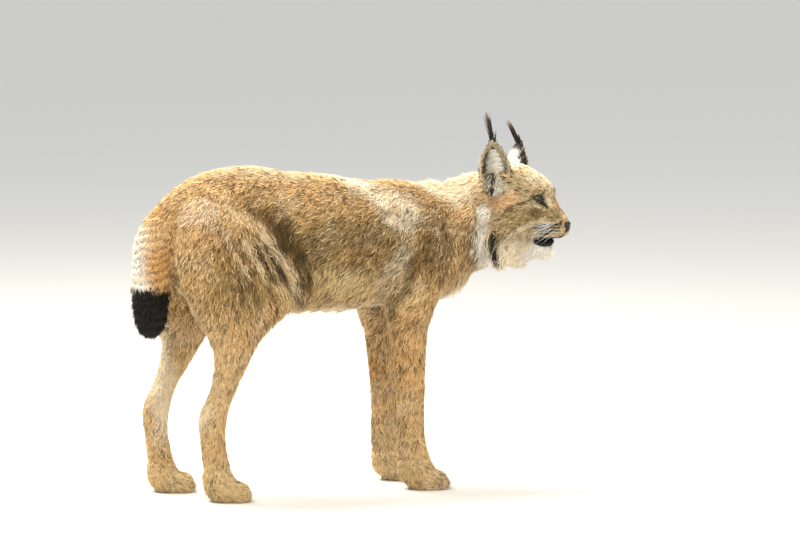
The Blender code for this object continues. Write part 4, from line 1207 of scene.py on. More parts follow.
def flecked(rng, roots, fleck, grizzle, wave):
    """Root and tip colours: the marking there, mottled, with light and dark flecks, the roots darkened as
    painted shade deep in the coat.
    """
    colour = coat_colour(roots)
    fine = ripple(roots, fleck, 4) * 0.9 + rng.normal(0, 0.50, len(roots))
    muzzle = patch_gap(halved(to_head(roots)), (-36, 24, -12), (30, 18, 15))
    grizzle = grizzle * (0.25 + 0.75 * ramp(muzzle, 0.7, 1.2))
    value = 1 + 0.14 * ripple(roots, 0.018, 1) + 0.15 * ripple(roots, 0.050, 2) + 0.35 * grizzle * fine
    # on the tail the rows are painted lighter on their crests and darker between them, as light on each row
    # of clumps and shade under it
    if wave is not None:
        value += 0.14 + 0.30 * wave
    luma = colour.mean(axis=1)
    hue = ripple(roots, 0.034, 5) * (headward(roots) < 0.5) * (luma > 0.06)
    colour = laid_over(colour, 0.18 * ramp(hue, 0.05, 0.5), ORANGE)
    colour = laid_over(colour, 0.26 * ramp(-hue, 0.05, 0.5) * ramp(luma, 0.10, 0.28), ASH)
    clean = 1 - 0.85 * ramp(luma, 0.60, 0.82)
    colour = colour * np.clip(1 + (value - 1) * clean, 0.4, 1.7)[:, None]
    furred = (luma > 0.06) * grizzle
    dark = ramp(-fine, 0.35, 0.9) * clean * (1 - 0.5 * ramp(luma, 0.42, 0.6))
    colour = laid_over(colour, np.minimum(0.75 * furred, 1) * dark, DARK)
    light = ramp(fine, 0.35, 0.9) * ramp(luma, 0.06, 0.30)
    colour = laid_over(colour, np.minimum(0.70 * furred, 1) * light, STRAW)
    # painted shade: roots darker than tips, most of all on the tail's rows and least on pale hair
    shade = (0.52 if wave is None else 0.36) + 0.45 * (1 - clean[:, None])
    return held(colour) * shade, held(colour * 1.28)


# %% Coat of a region
def coat(name, chosen, cover, seed, bends=1, fleck=0.0042, grizzle=1.0, curl=0.30, stray=0.20, bands=0.0):
    """Tufts over the chosen triangles of the skin. cover is how many lie over each place, fleck the size of
    the light and dark flecks in metres, and grizzle their strength. curl and stray make the coat less combed,
    and bands is the distance between rows of tufts, where it has such rows."""
    rng = np.random.default_rng(seed)
    index = np.where(chosen)[0]
    notes = groom(CENTRE[index])
    weight = AREA[index] * cover / (notes[:, 3] * notes[:, 4] * BLADE_SHARE)
    n = int(weight.sum())
    if bands:
        weight = weight * (1.25 + crests(CENTRE[index], bands))
    roots, normals, uvs = scattered(rng, index, weight, n)
    notes = groom(roots)
    lies = combed(rng, roots, normals, notes[:, :3], stray)
    length = notes[:, 3] * rng.uniform(0.65, 1.2, n) * (1 + 0.18 * ripple(roots, 0.03, 1))
    width = notes[:, 4] * rng.uniform(0.6, 1.2, n)
    lift = notes[:, 5] * rng.uniform(0.45, 1.5, n) + 0.06 * ripple(roots, 0.014, 2)
    wave = crests(roots, bands) if bands else None
    low, high = flecked(rng, roots, fleck, grizzle, wave)
    if bands:
        lift = lift * (1 + 0.40 * wave)
        length = notes[:, 3] * rng.uniform(0.85, 1.1, n)
    curls = rng.normal(0, curl, n)
    return tufts(name, roots, normals, lies, length, width, lift, low, high, uvs, bends, curls)


# %% Regions of the coat
ON_EAR = is_node(*EAR_NODES)
ON_SOLE = CENTRE[:, 2] < 0.006
IN_EYE = eye_gap(HEAD_CENTRE) < 0.0010
half_centre = halved(HEAD_CENTRE)
lip_gap = distance_to(half_centre * SQUASH["head"], curve_through(LIP_SKIN, 6) * SQUASH["head"])
IN_MOUTH = in_mouth(half_centre) | (lip_gap < 0.0034)
ON_NOSE = patch_gap(HEAD_CENTRE, (-7, 0, 0), (9, 12, 9)) < 1
IN_CUP = patch_gap(half_centre, (-138, 59, 86), (13, 12, 17)) < 1
BARE = ON_EAR | ON_SOLE | IN_EYE | IN_MOUTH | ON_NOSE | IN_CUP
LEFT = CENTRE[:, 1] > 0
ON_TORSO = is_node("torso") & ~BARE
ON_HEAD = is_node("head", "nose", "eye_left", "eye_right") & ~BARE
ON_FACE = ON_HEAD & (HEAD_CENTRE[:, 0] > -0.085)
TOP, UNDER = FACING[:, 2] > 0.62, FACING[:, 2] < -0.45

coats = [
    coat("coat_back", ON_TORSO & TOP, 3.4, 11),
    coat("coat_belly", ON_TORSO & UNDER, 2.6, 12),
    coat("coat_flank_left", ON_TORSO & ~TOP & ~UNDER & LEFT, 3.4, 13),
    coat("coat_flank_right", ON_TORSO & ~TOP & ~UNDER & ~LEFT, 3.4, 14),
    coat("coat_neck", is_node("neck") & ~BARE, 3.4, 15),
    coat("coat_face", ON_FACE, 3.2, 16, bends=0, fleck=0.0034, grizzle=1.25, stray=0.14),
    coat("coat_cheeks", ON_HEAD & ~ON_FACE, 3.4, 17, fleck=0.0042, grizzle=1.05, curl=0.2),
    coat("coat_foreleg_left", is_node("foreleg_left") & ~BARE, 2.8, 18, fleck=0.0045, stray=0.14),
    coat("coat_foreleg_right", is_node("foreleg_right") & ~BARE, 2.8, 19, fleck=0.0045, stray=0.14),
    coat("coat_thigh_left", is_node("hindleg_left") & ~BARE, 2.8, 20),
    coat("coat_thigh_right", is_node("hindleg_right") & ~BARE, 3.0, 21),
    coat("coat_paws", is_node(*PAWS) & ~BARE, 3.4, 22, fleck=0.0045, grizzle=1.1, stray=0.18),
    coat("coat_tail", is_node("tail", "tail_tip") & ~BARE, 4.2, 23, grizzle=0.45, stray=0.24, bands=0.014),
]
print("coat in all", sum(obj["triangles"] for obj in coats))


# %% [markdown]
# ## Fur of the ears
# The back of the ear has short hair that runs to the tip, dark round the edge and ash grey in the middle.
# Long pale hairs grow from both edges and cross the opening, and a brush of long black hair stands on the
# tip. The coat's notes are too coarse for a sheet so thin. So these tufts grow from the ear's own sheet, by
# their share of its length and their turn round it.
# %% Places on an ear
PAST_EDGE = 88  # degrees of turn from which the sheet faces sideways


def ear_frame(way, share, turn):
    """Place on the ear's sheet, the way to its tip and the way out of its back."""
    here, above = ear_point(way, share, turn), ear_point(way, min(share + 0.02, 0.965), turn)
    beside = ear_point(way, share, turn + 2)
    rise = above - here
    outwards = np.cross(rise, beside - here)
    _, _, opening, _ = ear_axes(way)
    into_opening = outwards @ opening > 0
    into_middle = abs(turn) > PAST_EDGE and outwards @ (here - ear_point(way, share, 0)) < 0
    if into_opening or into_middle:
        outwards = -outwards
    return here, rise / np.linalg.norm(rise), outwards / np.linalg.norm(outwards)


def ear_spots(rng, way, n, shares, turns):
    """Random places on an ear as arrays, in the head's frame, with the share and turn that each has."""
    share = rng.uniform(*shares, n)
    turn = rng.uniform(-1, 1, n)
    turn = turn * (turns[1] - turns[0]) + np.sign(turn) * turns[0]
    rows = [ear_frame(way, s, t * ear_wrap(s)) for s, t in zip(share, turn)]
    return share, turn, *(np.array(part) for part in zip(*rows))


# %% Places on the skin
SKIN_TREE = BVHTree.FromPolygons(skin_points.tolist(), corner.tolist())


def on_skin(point):
    """The place on the skin nearest to a point, its normal and its triangle."""
    spot, normal, face, _ = SKIN_TREE.find_nearest(Vector(point))
    return np.array(spot), np.array(normal), face


def skin_uv(points):
    """The unwrap's place of the skin nearest to each point."""
    return np.array([uv[loop[on_skin(p)[2]]].mean(axis=0) for p in points])


def one_colour(code, n):
    return np.tile(linear(code), (n, 1))


# %% Back of the ear
def ear_front(way, turn):
    """1 at the ear's front edge, -1 at its rear edge."""
    return -way * turn


def ear_back(way, seed):
    rng = np.random.default_rng(seed)
    share, turn, here, rise, out = ear_spots(rng, way, 3200, (-0.10, 0.95), (0, 1.0))
    n = len(share)
    roots = from_head(here + out * EAR_WALL * 0.5)
    front = ear_front(way, turn) + rng.normal(0, 0.10, n)
    edge = np.maximum.reduce([ramp(front, 0.30, 0.62), ramp(-front, 0.62, 0.90), ramp(share, 0.60, 0.80)])
    colour = laid_over(one_colour(WHITE, n), 0.35 * ramp(share, 0.45, -0.05), BUFF)
    colour = laid_over(colour, edge, BLACK)
    rim = ramp(np.abs(turn), 0.93, 0.98) * (1 - ramp(share, 0.80, 0.95))
    colour = laid_over(colour, rim * 0.9, PALE) * rng.uniform(0.75, 1.1, n)[:, None]
    lies = unit(turned(rise) + rng.normal(0, 0.18, (n, 3)))
    size = rng.uniform(0.8, 1.2, n)
    return tufts(f"coat_ear_back_{side_name(way)}", roots, turned(out), lies, 0.0105 * size, 0.0015 * size,
        0.24 * size, colour * 0.75, colour, skin_uv(roots))


# %% Inside of the ear
CUP_DARK = "#2e2822"
CUP_GREY = "#b3ad9a"
CUP_HAIR = "#f6f2e6"


def ear_inside(way, seed):
    """Short hair in the cup, dark behind and buff in front, and long pale hairs that arch back over it."""
    rng = np.random.default_rng(seed)
    share, turn, here, rise, out = ear_spots(rng, way, 1800, (-0.05, 0.94), (0, 0.98))
    roots = from_head(here - out * EAR_WALL * 0.5)
    n = len(share)
    front = ear_front(way, turn) + rng.normal(0, 0.10, n)
    colour = laid_over(one_colour(CUP_DARK, n), ramp(front, -0.50, -0.05) * 0.9, CUP_GREY)
    colour = laid_over(colour, ramp(share, 0.62, 0.85) * 0.7, ASH)
    colour = laid_over(colour, ramp(np.abs(front), 0.72, 0.92), PALE) * rng.uniform(0.6, 1.15, n)[:, None]
    colour = laid_over(colour, (rng.random(n) < 0.22) * 0.85, DARK)
    size = rng.uniform(0.7, 1.2, n)
    _, _, opening, across = ear_axes(way)
    back = across * way
    lies = unit(turned(rise + back * (0.5 * ramp(front, 0.0, 0.5))[:, None]) + rng.normal(0, 0.25, (n, 3)))
    short = tufts(f"coat_ear_cup_{side_name(way)}", roots, turned(-out), lies, 0.012 * size, 0.0014 * size,
        0.35 * size, colour * 0.8, colour, skin_uv(roots))
    share, turn, here, rise, _ = ear_spots(rng, way, 1700, (-0.04, 0.76), (0.12, 0.62))
    wanted = ear_front(way, turn) > 0
    share, here, rise = share[wanted], here[wanted], rise[wanted]
    n = len(share)
    lies = unit(turned(back + opening * 0.30 + rise * rng.normal(0.12, 0.14, (n, 1))))
    roots = from_head(here + opening * 0.001)
    reach = (0.035 - 0.019 * share) * rng.uniform(0.50, 1.12, n)
    colour = one_colour(CUP_HAIR, n) * rng.uniform(0.86, 1.0, n)[:, None]
    colour = laid_over(colour, (rng.random(n) < 0.08) * 0.7, DARK)
    long = tufts(f"coat_ear_hairs_{side_name(way)}", roots, np.tile(turned(opening), (n, 1)), lies, reach,
        np.full(n, 0.0012), rng.uniform(0.0, 0.30, n), colour * 0.95, colour, skin_uv(roots), bends=2,
        curl=-way * rng.uniform(0.25, 0.50, n))
    return [short, long]


# %% Fringe of the ear
FRINGE = "#d8caa6"


def ear_rim(way, seed):
    """The fringe along the edges of the cup, widest behind."""
    rng = np.random.default_rng(seed)
    _, turn, here, rise, out = ear_spots(rng, way, 1100, (-0.08, 0.96), (0.90, 1.0))
    n = len(turn)
    _, _, opening, across = ear_axes(way)
    lies = unit(turned(rise * 0.9 + opening * 0.35 + np.sign(turn)[:, None] * across * 0.10)
        + rng.normal(0, 0.12, (n, 3)))
    colour = laid_over(one_colour(FRINGE, n), (rng.random(n) < 0.15) * 0.7, DARK)
    colour = colour * rng.uniform(0.7, 1.1, n)[:, None]
    size = rng.uniform(0.7, 1.2, n)
    roots = from_head(here)
    return tufts(f"coat_ear_rim_{side_name(way)}", roots, turned(out), lies, 0.0085 * size, 0.0014 * size,
        0.20 * size, colour * 0.8, colour, skin_uv(roots))


# %% Hair below the opening
SPILL_GREY = "#d2cdbd"
SPILL_BLACK = "#1e1915"


def ear_spill(way, seed):
    """Black and grey hair that hangs out of the opening's lower end."""
    rng = np.random.default_rng(seed)
    n = 420
    place = np.stack([rng.normal(-131, 6, n), rng.normal(60, 3.5, n), rng.normal(78, 9, n)], axis=1) * MM
    roots, normals, _ = (np.array(part) for part in zip(*map(on_skin, from_head(place * [1, way, 1]))))
    lies = unit(turned(np.array((-0.12, 0.35 * way, -1.0))) + rng.normal(0, 0.20, (n, 3)))
    middle = np.abs(place[:, 0] / MM + 135 + rng.normal(0, 1.5, n))
    colour = laid_over(one_colour(SPILL_GREY, n), 1 - ramp(middle, 2, 6), SPILL_BLACK)
    return tufts(f"coat_ear_spill_{side_name(way)}", roots, normals, lies, rng.uniform(0.010, 0.022, n),
        np.full(n, 0.0016), rng.uniform(0.25, 0.6, n), colour * 0.8, colour, skin_uv(roots), bends=2,
        curl=rng.normal(0, 0.3, n))


# %% Brush on the tip
BRUSH_LENGTH = {1: 0.058, -1: 0.074}
BRUSH_SPREAD = {1: 0.0026, -1: 0.0016}
BRUSH_HAIRS = {1: 190, -1: 120}
BRUSH_LEAN = {1: (-0.50, -0.16, 1), -1: (-0.33, 0.18, 1)}
BRUSH_TIP = "#543526"


def ear_brush(way, seed):
    """The long black hairs on the tip, drawn together to a point, with a few that stray."""
    rng = np.random.default_rng(seed)
    n, brush = BRUSH_HAIRS[way], BRUSH_LENGTH[way]
    base, along, out, across = ear_axes(way)
    share = rng.uniform(0.84, 0.965, n)
    spread = np.clip(rng.normal(0, 1, n), -2, 2) * BRUSH_SPREAD[way]
    here = base + along * share[:, None] + across * spread[:, None] - out * 0.002
    lean = np.array(BRUSH_LEAN[way])
    point = base + along * 0.94 + lean / np.linalg.norm(lean) * brush * 1.25
    aside, forward = rng.normal(0, 0.05, (n, 1)), rng.normal(0, 0.05, (n, 1))
    lies = unit(turned(unit(point - here) + across * aside + out * forward))
    reach = brush * rng.uniform(0.25, 1.0, n) ** 0.7
    stray = rng.random(n) < 0.07
    lies[stray] = unit(lies[stray] + turned(across * -way * 0.38 + out * 0.1))
    reach[stray] = brush * 0.40
    colour = one_colour(BLACK, n)
    tips = laid_over(colour, ramp(reach, 0.78 * brush, brush) * 0.8, BRUSH_TIP)
    roots = from_head(here)
    return tufts(f"ear_brush_{side_name(way)}", roots, np.tile(turned(-out), (n, 1)), lies, reach,
        np.full(n, 0.0015), rng.uniform(0.0, 0.10, n), colour, tips, skin_uv(roots), bends=2,
        curl=way * rng.normal(0.07, 0.04, n))


for way in (1, -1):
    coats += [ear_back(way, 31 + way), *ear_inside(way, 41 + way), ear_rim(way, 51 + way)]
    coats += [ear_spill(way, 81 + way), ear_brush(way, 61 + way)]


# %% [markdown]
# ## Eyes
# An eyeball is a wet ball with a bulge in front, a gold green iris with a dark rim, and a round pupil.
# Blender's own sphere has its poles above and below. This one has its rings round the line of sight, so that
# pupil, iris and rim can be painted by the angle from that line.
# %% Eyeballs
# Both iris colours are darkened as painted shade that the lids cast on the eye.
IRIS_OUTER = "#3c3b1a"
IRIS_INNER = "#5f5b2b"
EYE_EDGE = "#1b150c"
PUPIL = "#020202"


def eyeball(way):
    centre, axes = eye_axes(way)
    rings, sides = 40, 48
    points, angle = [], []
    for r in range(rings + 1):
        a = pi * r / rings * (0.35 + 0.65 * r / rings)
        for k in range(sides):
            t = 2 * pi * k / sides
            points.append((cos(a), sin(a) * cos(t), sin(a) * sin(t)))
            angle.append(a)
    bulge = 1 + 0.05 * np.clip(1 - np.array(angle) / radians(38), 0, 1) ** 0.7
    points = np.array(points) * EYE_RADIUS * bulge[:, None]
    faces = []
    for r in range(rings):
        for k in range(sides):
            here, there, m = r * sides, (r + 1) * sides, (k + 1) % sides
            faces.append((here + k, there + k, there + m, here + m))
    mesh = mesh_from("eye", from_head(centre + points @ axes.T), faces)
    face_outwards(mesh, WELD)
    local = (to_head(points_of(mesh)) - centre) @ axes
    look = np.degrees(np.arctan2(np.hypot(local[:, 1], local[:, 2]), local[:, 0]))
    around = np.arctan2(local[:, 1], local[:, 2])
    colour = laid_over(one_colour(IRIS_OUTER, len(look)), 1 - ramp(look, 24, 36), IRIS_INNER)
    spokes = 0.85 + 0.25 * np.sin(around * 23) * np.sin(around * 7 + 1)
    colour = laid_over(colour * spokes[:, None], ramp(look, 40, 46), EYE_EDGE)
    paint(mesh, laid_over(colour, 1 - ramp(look, 23, 26), PUPIL))
    mesh.shade_smooth()
    obj = add(f"eye_ball_{side_name(way)}", mesh)
    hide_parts(f"eye_{side_name(way)}")
    return obj


eyes = [eyeball(1), eyeball(-1)]


# %% [markdown]
# ## Lid rims, lips and mouth
# The lids end in a bare black rim, the lips are bare and black, and the mouth behind them lies in shade. A
# curve object with a bevel could make the rims, but its width would be even. So each is a tube in mesh code
# with a radius for every point. The shade inside the mouth is painted as a near-black soft lens between the
# jaws.
# %% Tubes
TUBE_SIDES = 10


def tube(name, path, radii, squash, normals, closed=True):
    """A tube round a path, with a radius for each point, squashed along the normals."""
    n, sides = len(path), TUBE_SIDES
    points = []
    for i in range(n):
        ahead = path[(i + 1) % n] - path[i - 1] if closed else path[min(i + 1, n - 1)] - path[max(i - 1, 0)]
        ahead = ahead / np.linalg.norm(ahead)
        up = normals[i] - ahead * (normals[i] @ ahead)
        up = up / np.linalg.norm(up)
        side = np.cross(ahead, up)
        for k in range(sides):
            t = 2 * pi * k / sides
            points.append(path[i] + (up * cos(t) * squash + side * sin(t)) * radii[i])
    faces = []
    for i in range(n if closed else n - 1):
        j = (i + 1) % n
        for k in range(sides):
            m = (k + 1) % sides
            faces.append((i * sides + k, i * sides + m, j * sides + m, j * sides + k))
    if not closed:
        faces += [tuple(range(sides))[::-1], tuple((n - 1) * sides + k for k in range(sides))]
    mesh = mesh_from(name, points, faces)
    face_outwards(mesh)
    mesh.shade_smooth()
    return add(name, mesh)


# %% Lid rims
def lid_rim(way):
    """The dark edge of the lids, on the ball's own curve."""
    centre, axes = eye_axes(way)
    path, radii = [], []
    for t in 2 * pi * np.arange(64) / 64:
        upper = sin(t) > 0
        across = EYE_HALF_WIDTH * cos(t)
        high = (UPPER_LID if upper else LOWER_LID) * np.sign(sin(t)) * (1 - cos(t) ** 2)
        ahead = np.sqrt((EYE_RADIUS + 0.0004) ** 2 - across**2 - high**2)
        path.append(centre + np.array((ahead, across, high)) @ axes.T)
        # the upper rim is wider, partly as painted shade that the upper lid casts on the eye
        radii.append(0.0019 if upper else 0.0010)
    path = from_head(np.array(path))
    middle = from_head(centre[None])[0]
    return tube(f"lid_rim_{side_name(way)}", path, radii, 0.9, unit(path - middle))


# %% Lips and mouth
def lip(name, rows, radius):
    """A rim along a lip from corner to corner, drawn most of the way onto the skin."""
    left = curve_through(rows, 6)
    path = []
    for point in from_head(np.vstack([(left * [1, -1, 1])[::-1], left[1:]])):
        spot, normal, _ = on_skin(point)
        path.append(spot * 0.6 + point * 0.4 + normal * 0.0004)
    path = np.array(path)
    path[1:-1] = path[1:-1] * 0.5 + (path[:-2] + path[2:]) * 0.25
    radii = radius * (1 - 0.55 * np.abs(np.linspace(-1, 1, len(path))) ** 3)
    middle = from_head(np.array((-75, 0, -30))[None] * MM)[0]
    return tube(name, path, radii, 0.8, unit(path - middle), closed=False)


def ball_mesh(centre, radii, segments=24):
    """A ball of three radii as a bmesh, in the head's frame."""
    bm = bmesh.new()
    bmesh.ops.create_uvsphere(bm, u_segments=segments, v_segments=segments // 2, radius=1)
    matrix = Matrix.Translation(Vector(centre) * MM) @ Matrix.Diagonal((*(Vector(radii) * MM), 1))
    bmesh.ops.transform(bm, matrix=matrix, verts=bm.verts)
    return bm


def mouth_shade():
    """Painted shade inside the mouth: a near-black soft lens between the jaws."""
    bm = ball_mesh((-52, 0, -35), (19, 15, 8.5), segments=32)
    bm.verts.index_update()
    rings = []
    for face in bm.faces:
        ring = [vert.index for vert in face.verts]
        first = ring.index(min(ring))
        rings.append(ring[first:] + ring[:first])
    # Blender's ball starts its faces at another corner each run, so they are put in order here
    mesh = mesh_from("mouth_shade", [vert.co for vert in bm.verts], sorted(rings))
    bm.free()
    points = points_of(mesh)
    points[:, 2] += 0.0012 * np.cos(points[:, 1] / 0.010 * pi)
    set_points(mesh, from_head(points))
    mesh.shade_smooth()
    return add("mouth_shade", mesh)


rims = [lid_rim(1), lid_rim(-1)]
lips = [lip("lip_upper", UPPER_LIP, 0.0012), lip("lip_lower", LOWER_LIP, 0.0019), mouth_shade()]


# %% [markdown]
# ## The nose
# The bare nose pad is pebbled, moist leather with a comma-shaped nostril on each side and a groove down its
# middle. Booleans would leave sharp joins between its lobes. So soft balls are fused by a fine remesh, then
# points are pushed in where the nostrils are, and the same places are painted dark.
# %% Nose pad
NOSE_BROWN = "#38211a"
NOSE_BALLS = (  # centre and radii in mm
    ((-7.0, 0, 0.0), (7.6, 12.5, 6.0)),
    ((-9.0, 0, -8.0), (7.4, 5.6, 9.0)),
    ((-7.6, 8.2, -3.0), (7.0, 5.6, 6.2)),
    ((-7.6, -8.2, -3.0), (7.0, 5.6, 6.2)),
)
NOSTRIL = (((0.5, 6.0, -2.0), 4.2, 2.3), ((-2.0, 9.2, -3.6), 3.0, 1.9), ((-5.0, 11.6, -4.0), 2.2, 1.6))
NOSTRIL_DARK = (((-1, 6.2, -2), 2.8), ((-4, 9.4, -3.6), 2.6), ((-7, 11, -4), 2.6))


def nose_pad():
    """The pad in the nose's place, with its nostrils pushed in."""
    whole = bmesh.new()
    mesh = bpy.data.meshes.new("nose_pad")
    for centre, radii in NOSE_BALLS:
        part = ball_mesh(centre, radii)
        part.to_mesh(mesh)
        part.free()
        whole.from_mesh(mesh)
    whole.to_mesh(mesh)
    whole.free()
    nose = add("nose_pad", mesh)
    fuse = nose.modifiers.new("Fuse", "REMESH")
    fuse.mode = "VOXEL"
    fuse.voxel_size = 0.0006
    soften(nose, 6)
    points = points_of(nose.data) - (0.0012, 0, 0)
    for side in (1, -1):
        push = np.array((-1, -0.25 * side, 0.1)) * MM
        for place, amount, width in NOSTRIL:
            gap = np.linalg.norm(points - np.array(place) * [1, side, 1] * MM, axis=1)
            points = points + swelling(gap, width * MM)[:, None] * push * amount
    groove = swelling(points[:, 1], 0.0008) * (points[:, 0] > -0.006) * (points[:, 2] < 0.004)
    points[:, 0] -= groove * 0.0009
    set_points(nose.data, from_head(points))
    dark = np.zeros(len(points))
    for side in (1, -1):
        for place, width in NOSTRIL_DARK:
            gap = np.linalg.norm(points - np.array(place) * [1, side, 1] * MM, axis=1)
            dark = np.maximum(dark, np.exp(-((gap / (width * MM)) ** 4)))
    edge = np.maximum(ramp(-points[:, 0], 0.006, 0.0100), ramp(-points[:, 2], 0.003, 0.008))
    colour = laid_over(one_colour(NOSE_BROWN, len(points)), np.maximum(dark, edge * 0.9), BLACK)
    colour = laid_over(colour, ramp(points[:, 2], 0.0045, 0.0065) * 0.6, BLACK)
    paint(nose.data, colour)
    nose.data.shade_smooth()
    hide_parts("nose")
    return nose


nose = nose_pad()


# %% [markdown]
# ## Whiskers
# Whiskers are stiff white hairs set in rows on the pads of the upper lip, with a few over each eye. They are
# much longer and stiffer than the coat, and a tuft would be too thick for them. So each is one thin hair of
# its own that tapers and sags under its weight.
# %% Whiskers
HAIR_STEPS = 7
WHISKER_RADIUS = 0.00036


def hair(root, way, length, bend, radius):
    """A thin three-sided tapered hair."""
    way = way / np.linalg.norm(way)
    side = np.cross(way, (0, 0, 1.0))
    side = side / np.linalg.norm(side)
    up = np.cross(side, way)
    points, faces = [], []
    for i in range(HAIR_STEPS):
        t = i / HAIR_STEPS
        centre = root + way * length * t + bend * length * t * t
        for k in range(3):
            a = 2 * pi * k / 3
            points.append(centre + (side * cos(a) + up * sin(a)) * radius * (1 - t) ** 0.7)
    points.append(root + way * length + bend * length)
    corners = [(3 * i + k, 3 * i + (k + 1) % 3) for i in range(HAIR_STEPS) for k in range(3)]
    faces = [(a, b, b + 3, a + 3) for a, b in corners[:-3]]
    return points, faces + [(a, b, len(points) - 1) for a, b in corners[-3:]] + [(2, 1, 0)]


def hairs(name, rows):
    """One piece of many hairs, from rows of root, way, length, bend and radius."""
    points, faces = [], []
    for row in rows:
        part, more = hair(*row)
        faces += [tuple(i + len(points) for i in face) for face in more]
        points += part
    mesh = mesh_from(name, points, faces)
    mesh.shade_smooth()
    return add(name, mesh)


def whiskers():
    rng = np.random.default_rng(71)
    rows = []
    for side in (1, -1):
        spots = []
        for row in range(4):
            for k in range(5 - row % 2):
                place = (-16 - 5.2 * k, 17 + 1.9 * k, 1 - 4.4 * row + 0.4 * k)
                spots.append((place, (-0.75 - 0.06 * k, 0.62, -0.10 - 0.14 * row), 0.040 + 0.009 * k))
        spots += [((-52 - 3 * k, 24 + 4 * k, 64), (-0.5, 0.25, 0.8), 0.028) for k in range(3)]
        flip = np.array((1, side, 1))
        bend = turned(np.array((-0.25, -0.06 * side, -0.30)))
        for place, way, length in spots:
            spot, normal, _ = on_skin(from_head((np.array(place) * MM * flip)[None])[0])
            way = turned((way + rng.normal(0, 0.06, 3)) * flip)
            rows.append((spot - normal * 0.001, way, length * rng.uniform(0.85, 1.1), bend, WHISKER_RADIUS))
    return hairs("whiskers", rows)


whisker_piece = whiskers()


# %% [markdown]
# ## Claws
# A claw is a small horn hook that a lynx keeps drawn in between its toes. It could be a bent cone, but the
# hair above is already a tapered, bent horn. A shorter and thicker one serves, with only its end in view.
# %% Claws
CLAWS = ((-0.74, 0.0085), (-0.26, 0.0015), (0.26, 0.0015), (0.74, 0.0085))  # place across, and how far back


def claws():
    rows = []
    for paw in PAWS:
        low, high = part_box(paw)
        for spread, back in CLAWS:
            root = np.array((high.x - 0.011 - back, (low.y + high.y) / 2 + spread * 0.033, 0.0135))
            rows.append((root, np.array((1.0, 0, 0.05)), 0.0125, np.array((-0.10, 0, -0.42)), 0.0021))
    return hairs("claws", rows)


claw_piece = claws()


# %% [markdown]
# ## Materials
# Hair, hide, horn, wet skin and the wet eye differ more in their gloss than in their colour. One flat colour
# each would look like plastic, and a hair shader needs hair curves. So every finish is a Principled shader
# with the gloss of the real one, and its colour is broken up by a fine noise of a real size in millimetres.
# %% One small function for nodes
def node(tree, kind, inputs=None, **settings):
    made = tree.nodes.new(kind)
    for key, value in settings.items():
        setattr(made, key, value)
    for key, value in (inputs or {}).items():
        if isinstance(value, bpy.types.NodeSocket):
            tree.links.new(value, made.inputs[key])
        else:
            made.inputs[key].default_value = value
    return made


# %% Two kinds of finish
def grained(name, grain_mm, detail, roughness, specular):
    """A Principled material with a fine noise, which its colour will use."""
    material = bpy.data.materials.new(name)
    material.use_nodes = True
    tree = material.node_tree
    shader = tree.nodes["Principled BSDF"]
    shader.inputs["Roughness"].default_value = roughness
    shader.inputs["Specular IOR Level"].default_value = specular
    place = node(tree, "ShaderNodeTexCoord")
    grain = node(tree, "ShaderNodeTexNoise", {"Vector": place.outputs["Object"], "Scale": 1000 / grain_mm,
        "Detail": detail})
    return material, tree, shader, grain


def painted(name, roughness, specular, grain_mm, low, high, bump=0.0):
    """A material that takes its colour from the painted points, from low to high times as bright."""
    material, tree, shader, grain = grained(name, grain_mm, 3.0, roughness, specular)
    coat_paint = node(tree, "ShaderNodeAttribute", attribute_name="coat")
    level = node(tree, "ShaderNodeMapRange", {"Value": grain.outputs["Fac"], "From Min": 0.3, "From Max": 0.7,
        "To Min": low, "To Max": high})
    mixed = node(tree, "ShaderNodeVectorMath", {0: coat_paint.outputs["Color"], 1: level.outputs["Result"]},
        operation="MULTIPLY")
    tree.links.new(mixed.outputs["Vector"], shader.inputs["Base Color"])
    if bump:
        relief = node(tree, "ShaderNodeBump", {"Height": grain.outputs["Fac"], "Strength": 0.6,
            "Distance": bump})
        tree.links.new(relief.outputs["Normal"], shader.inputs["Normal"])
    return material


def plain(name, code, roughness, specular=0.5, grain_mm=10 / 9):
    """One colour with a light mottling, for small smooth pieces."""
    material, tree, shader, grain = grained(name, grain_mm, 2.0, roughness, specular)
    tint = node(tree, "ShaderNodeValToRGB", {"Fac": grain.outputs["Fac"]})
    tint.color_ramp.elements[0].color = (*(linear(code) * 0.7), 1)
    tint.color_ramp.elements[1].color = (*np.clip(linear(code) * 1.25, 0, 1), 1)
    tree.links.new(tint.outputs["Color"], shader.inputs["Base Color"])
    return material


# %% Finishes
# Guard hair, smooth keratin with a film of skin oil: a broad soft sheen where tufts turn to the light. A real
# hair is 0.08 mm wide, too fine to show, so the grain is as wide as a tuft.
FUR = painted("guard_hair_fur", 0.62, 0.30, 2.2, 0.88, 1.14)
# Hide felted with underfur: dull, and painted darker than the tufts as the shade between them, so that the
# coat looks deep.
HIDE = painted("furred_hide", 0.85, 0.15, 1.6, 0.75, 1.15, 0.0006)
# A film of tears on the cornea: small sharp highlights, which make the eye look alive.
EYE = painted("wet_eye", 0.05, 0.35, 0.8, 0.9, 1.1)
# Nose leather in pebbles of about a millimetre, licked moist: a low sheen broken up by the bumps.
NOSE = painted("moist_nose_leather", 0.5, 0.3, 0.9, 0.8, 1.15, 0.0004)
# Bare skin of lids and lips, nearly black: a faint line of light shows that the edge is round and moist.
LID = plain("moist_black_lid", "#0f0b0a", 0.42, 0.35)
# Painted shade inside the mouth: near black and without a highlight, so the mouth reads as open.
DARK_MOUTH_SHADE = plain("painted_mouth_shade", "#0b0706", 0.7, 0.12)
# A bristle of pale keratin: smooth enough to show as a thin bright line.
WHISKER = plain("whisker_keratin", "#f4f0e6", 0.4)
# Horn grown in layers: yellowish grey, with a soft gloss along the hook.
CLAW = plain("claw_horn", "#8d8069", 0.35)
print("materials", [material.name for material in (FUR, HIDE, EYE, NOSE, LID, DARK_MOUTH_SHADE, WHISKER, CLAW)])

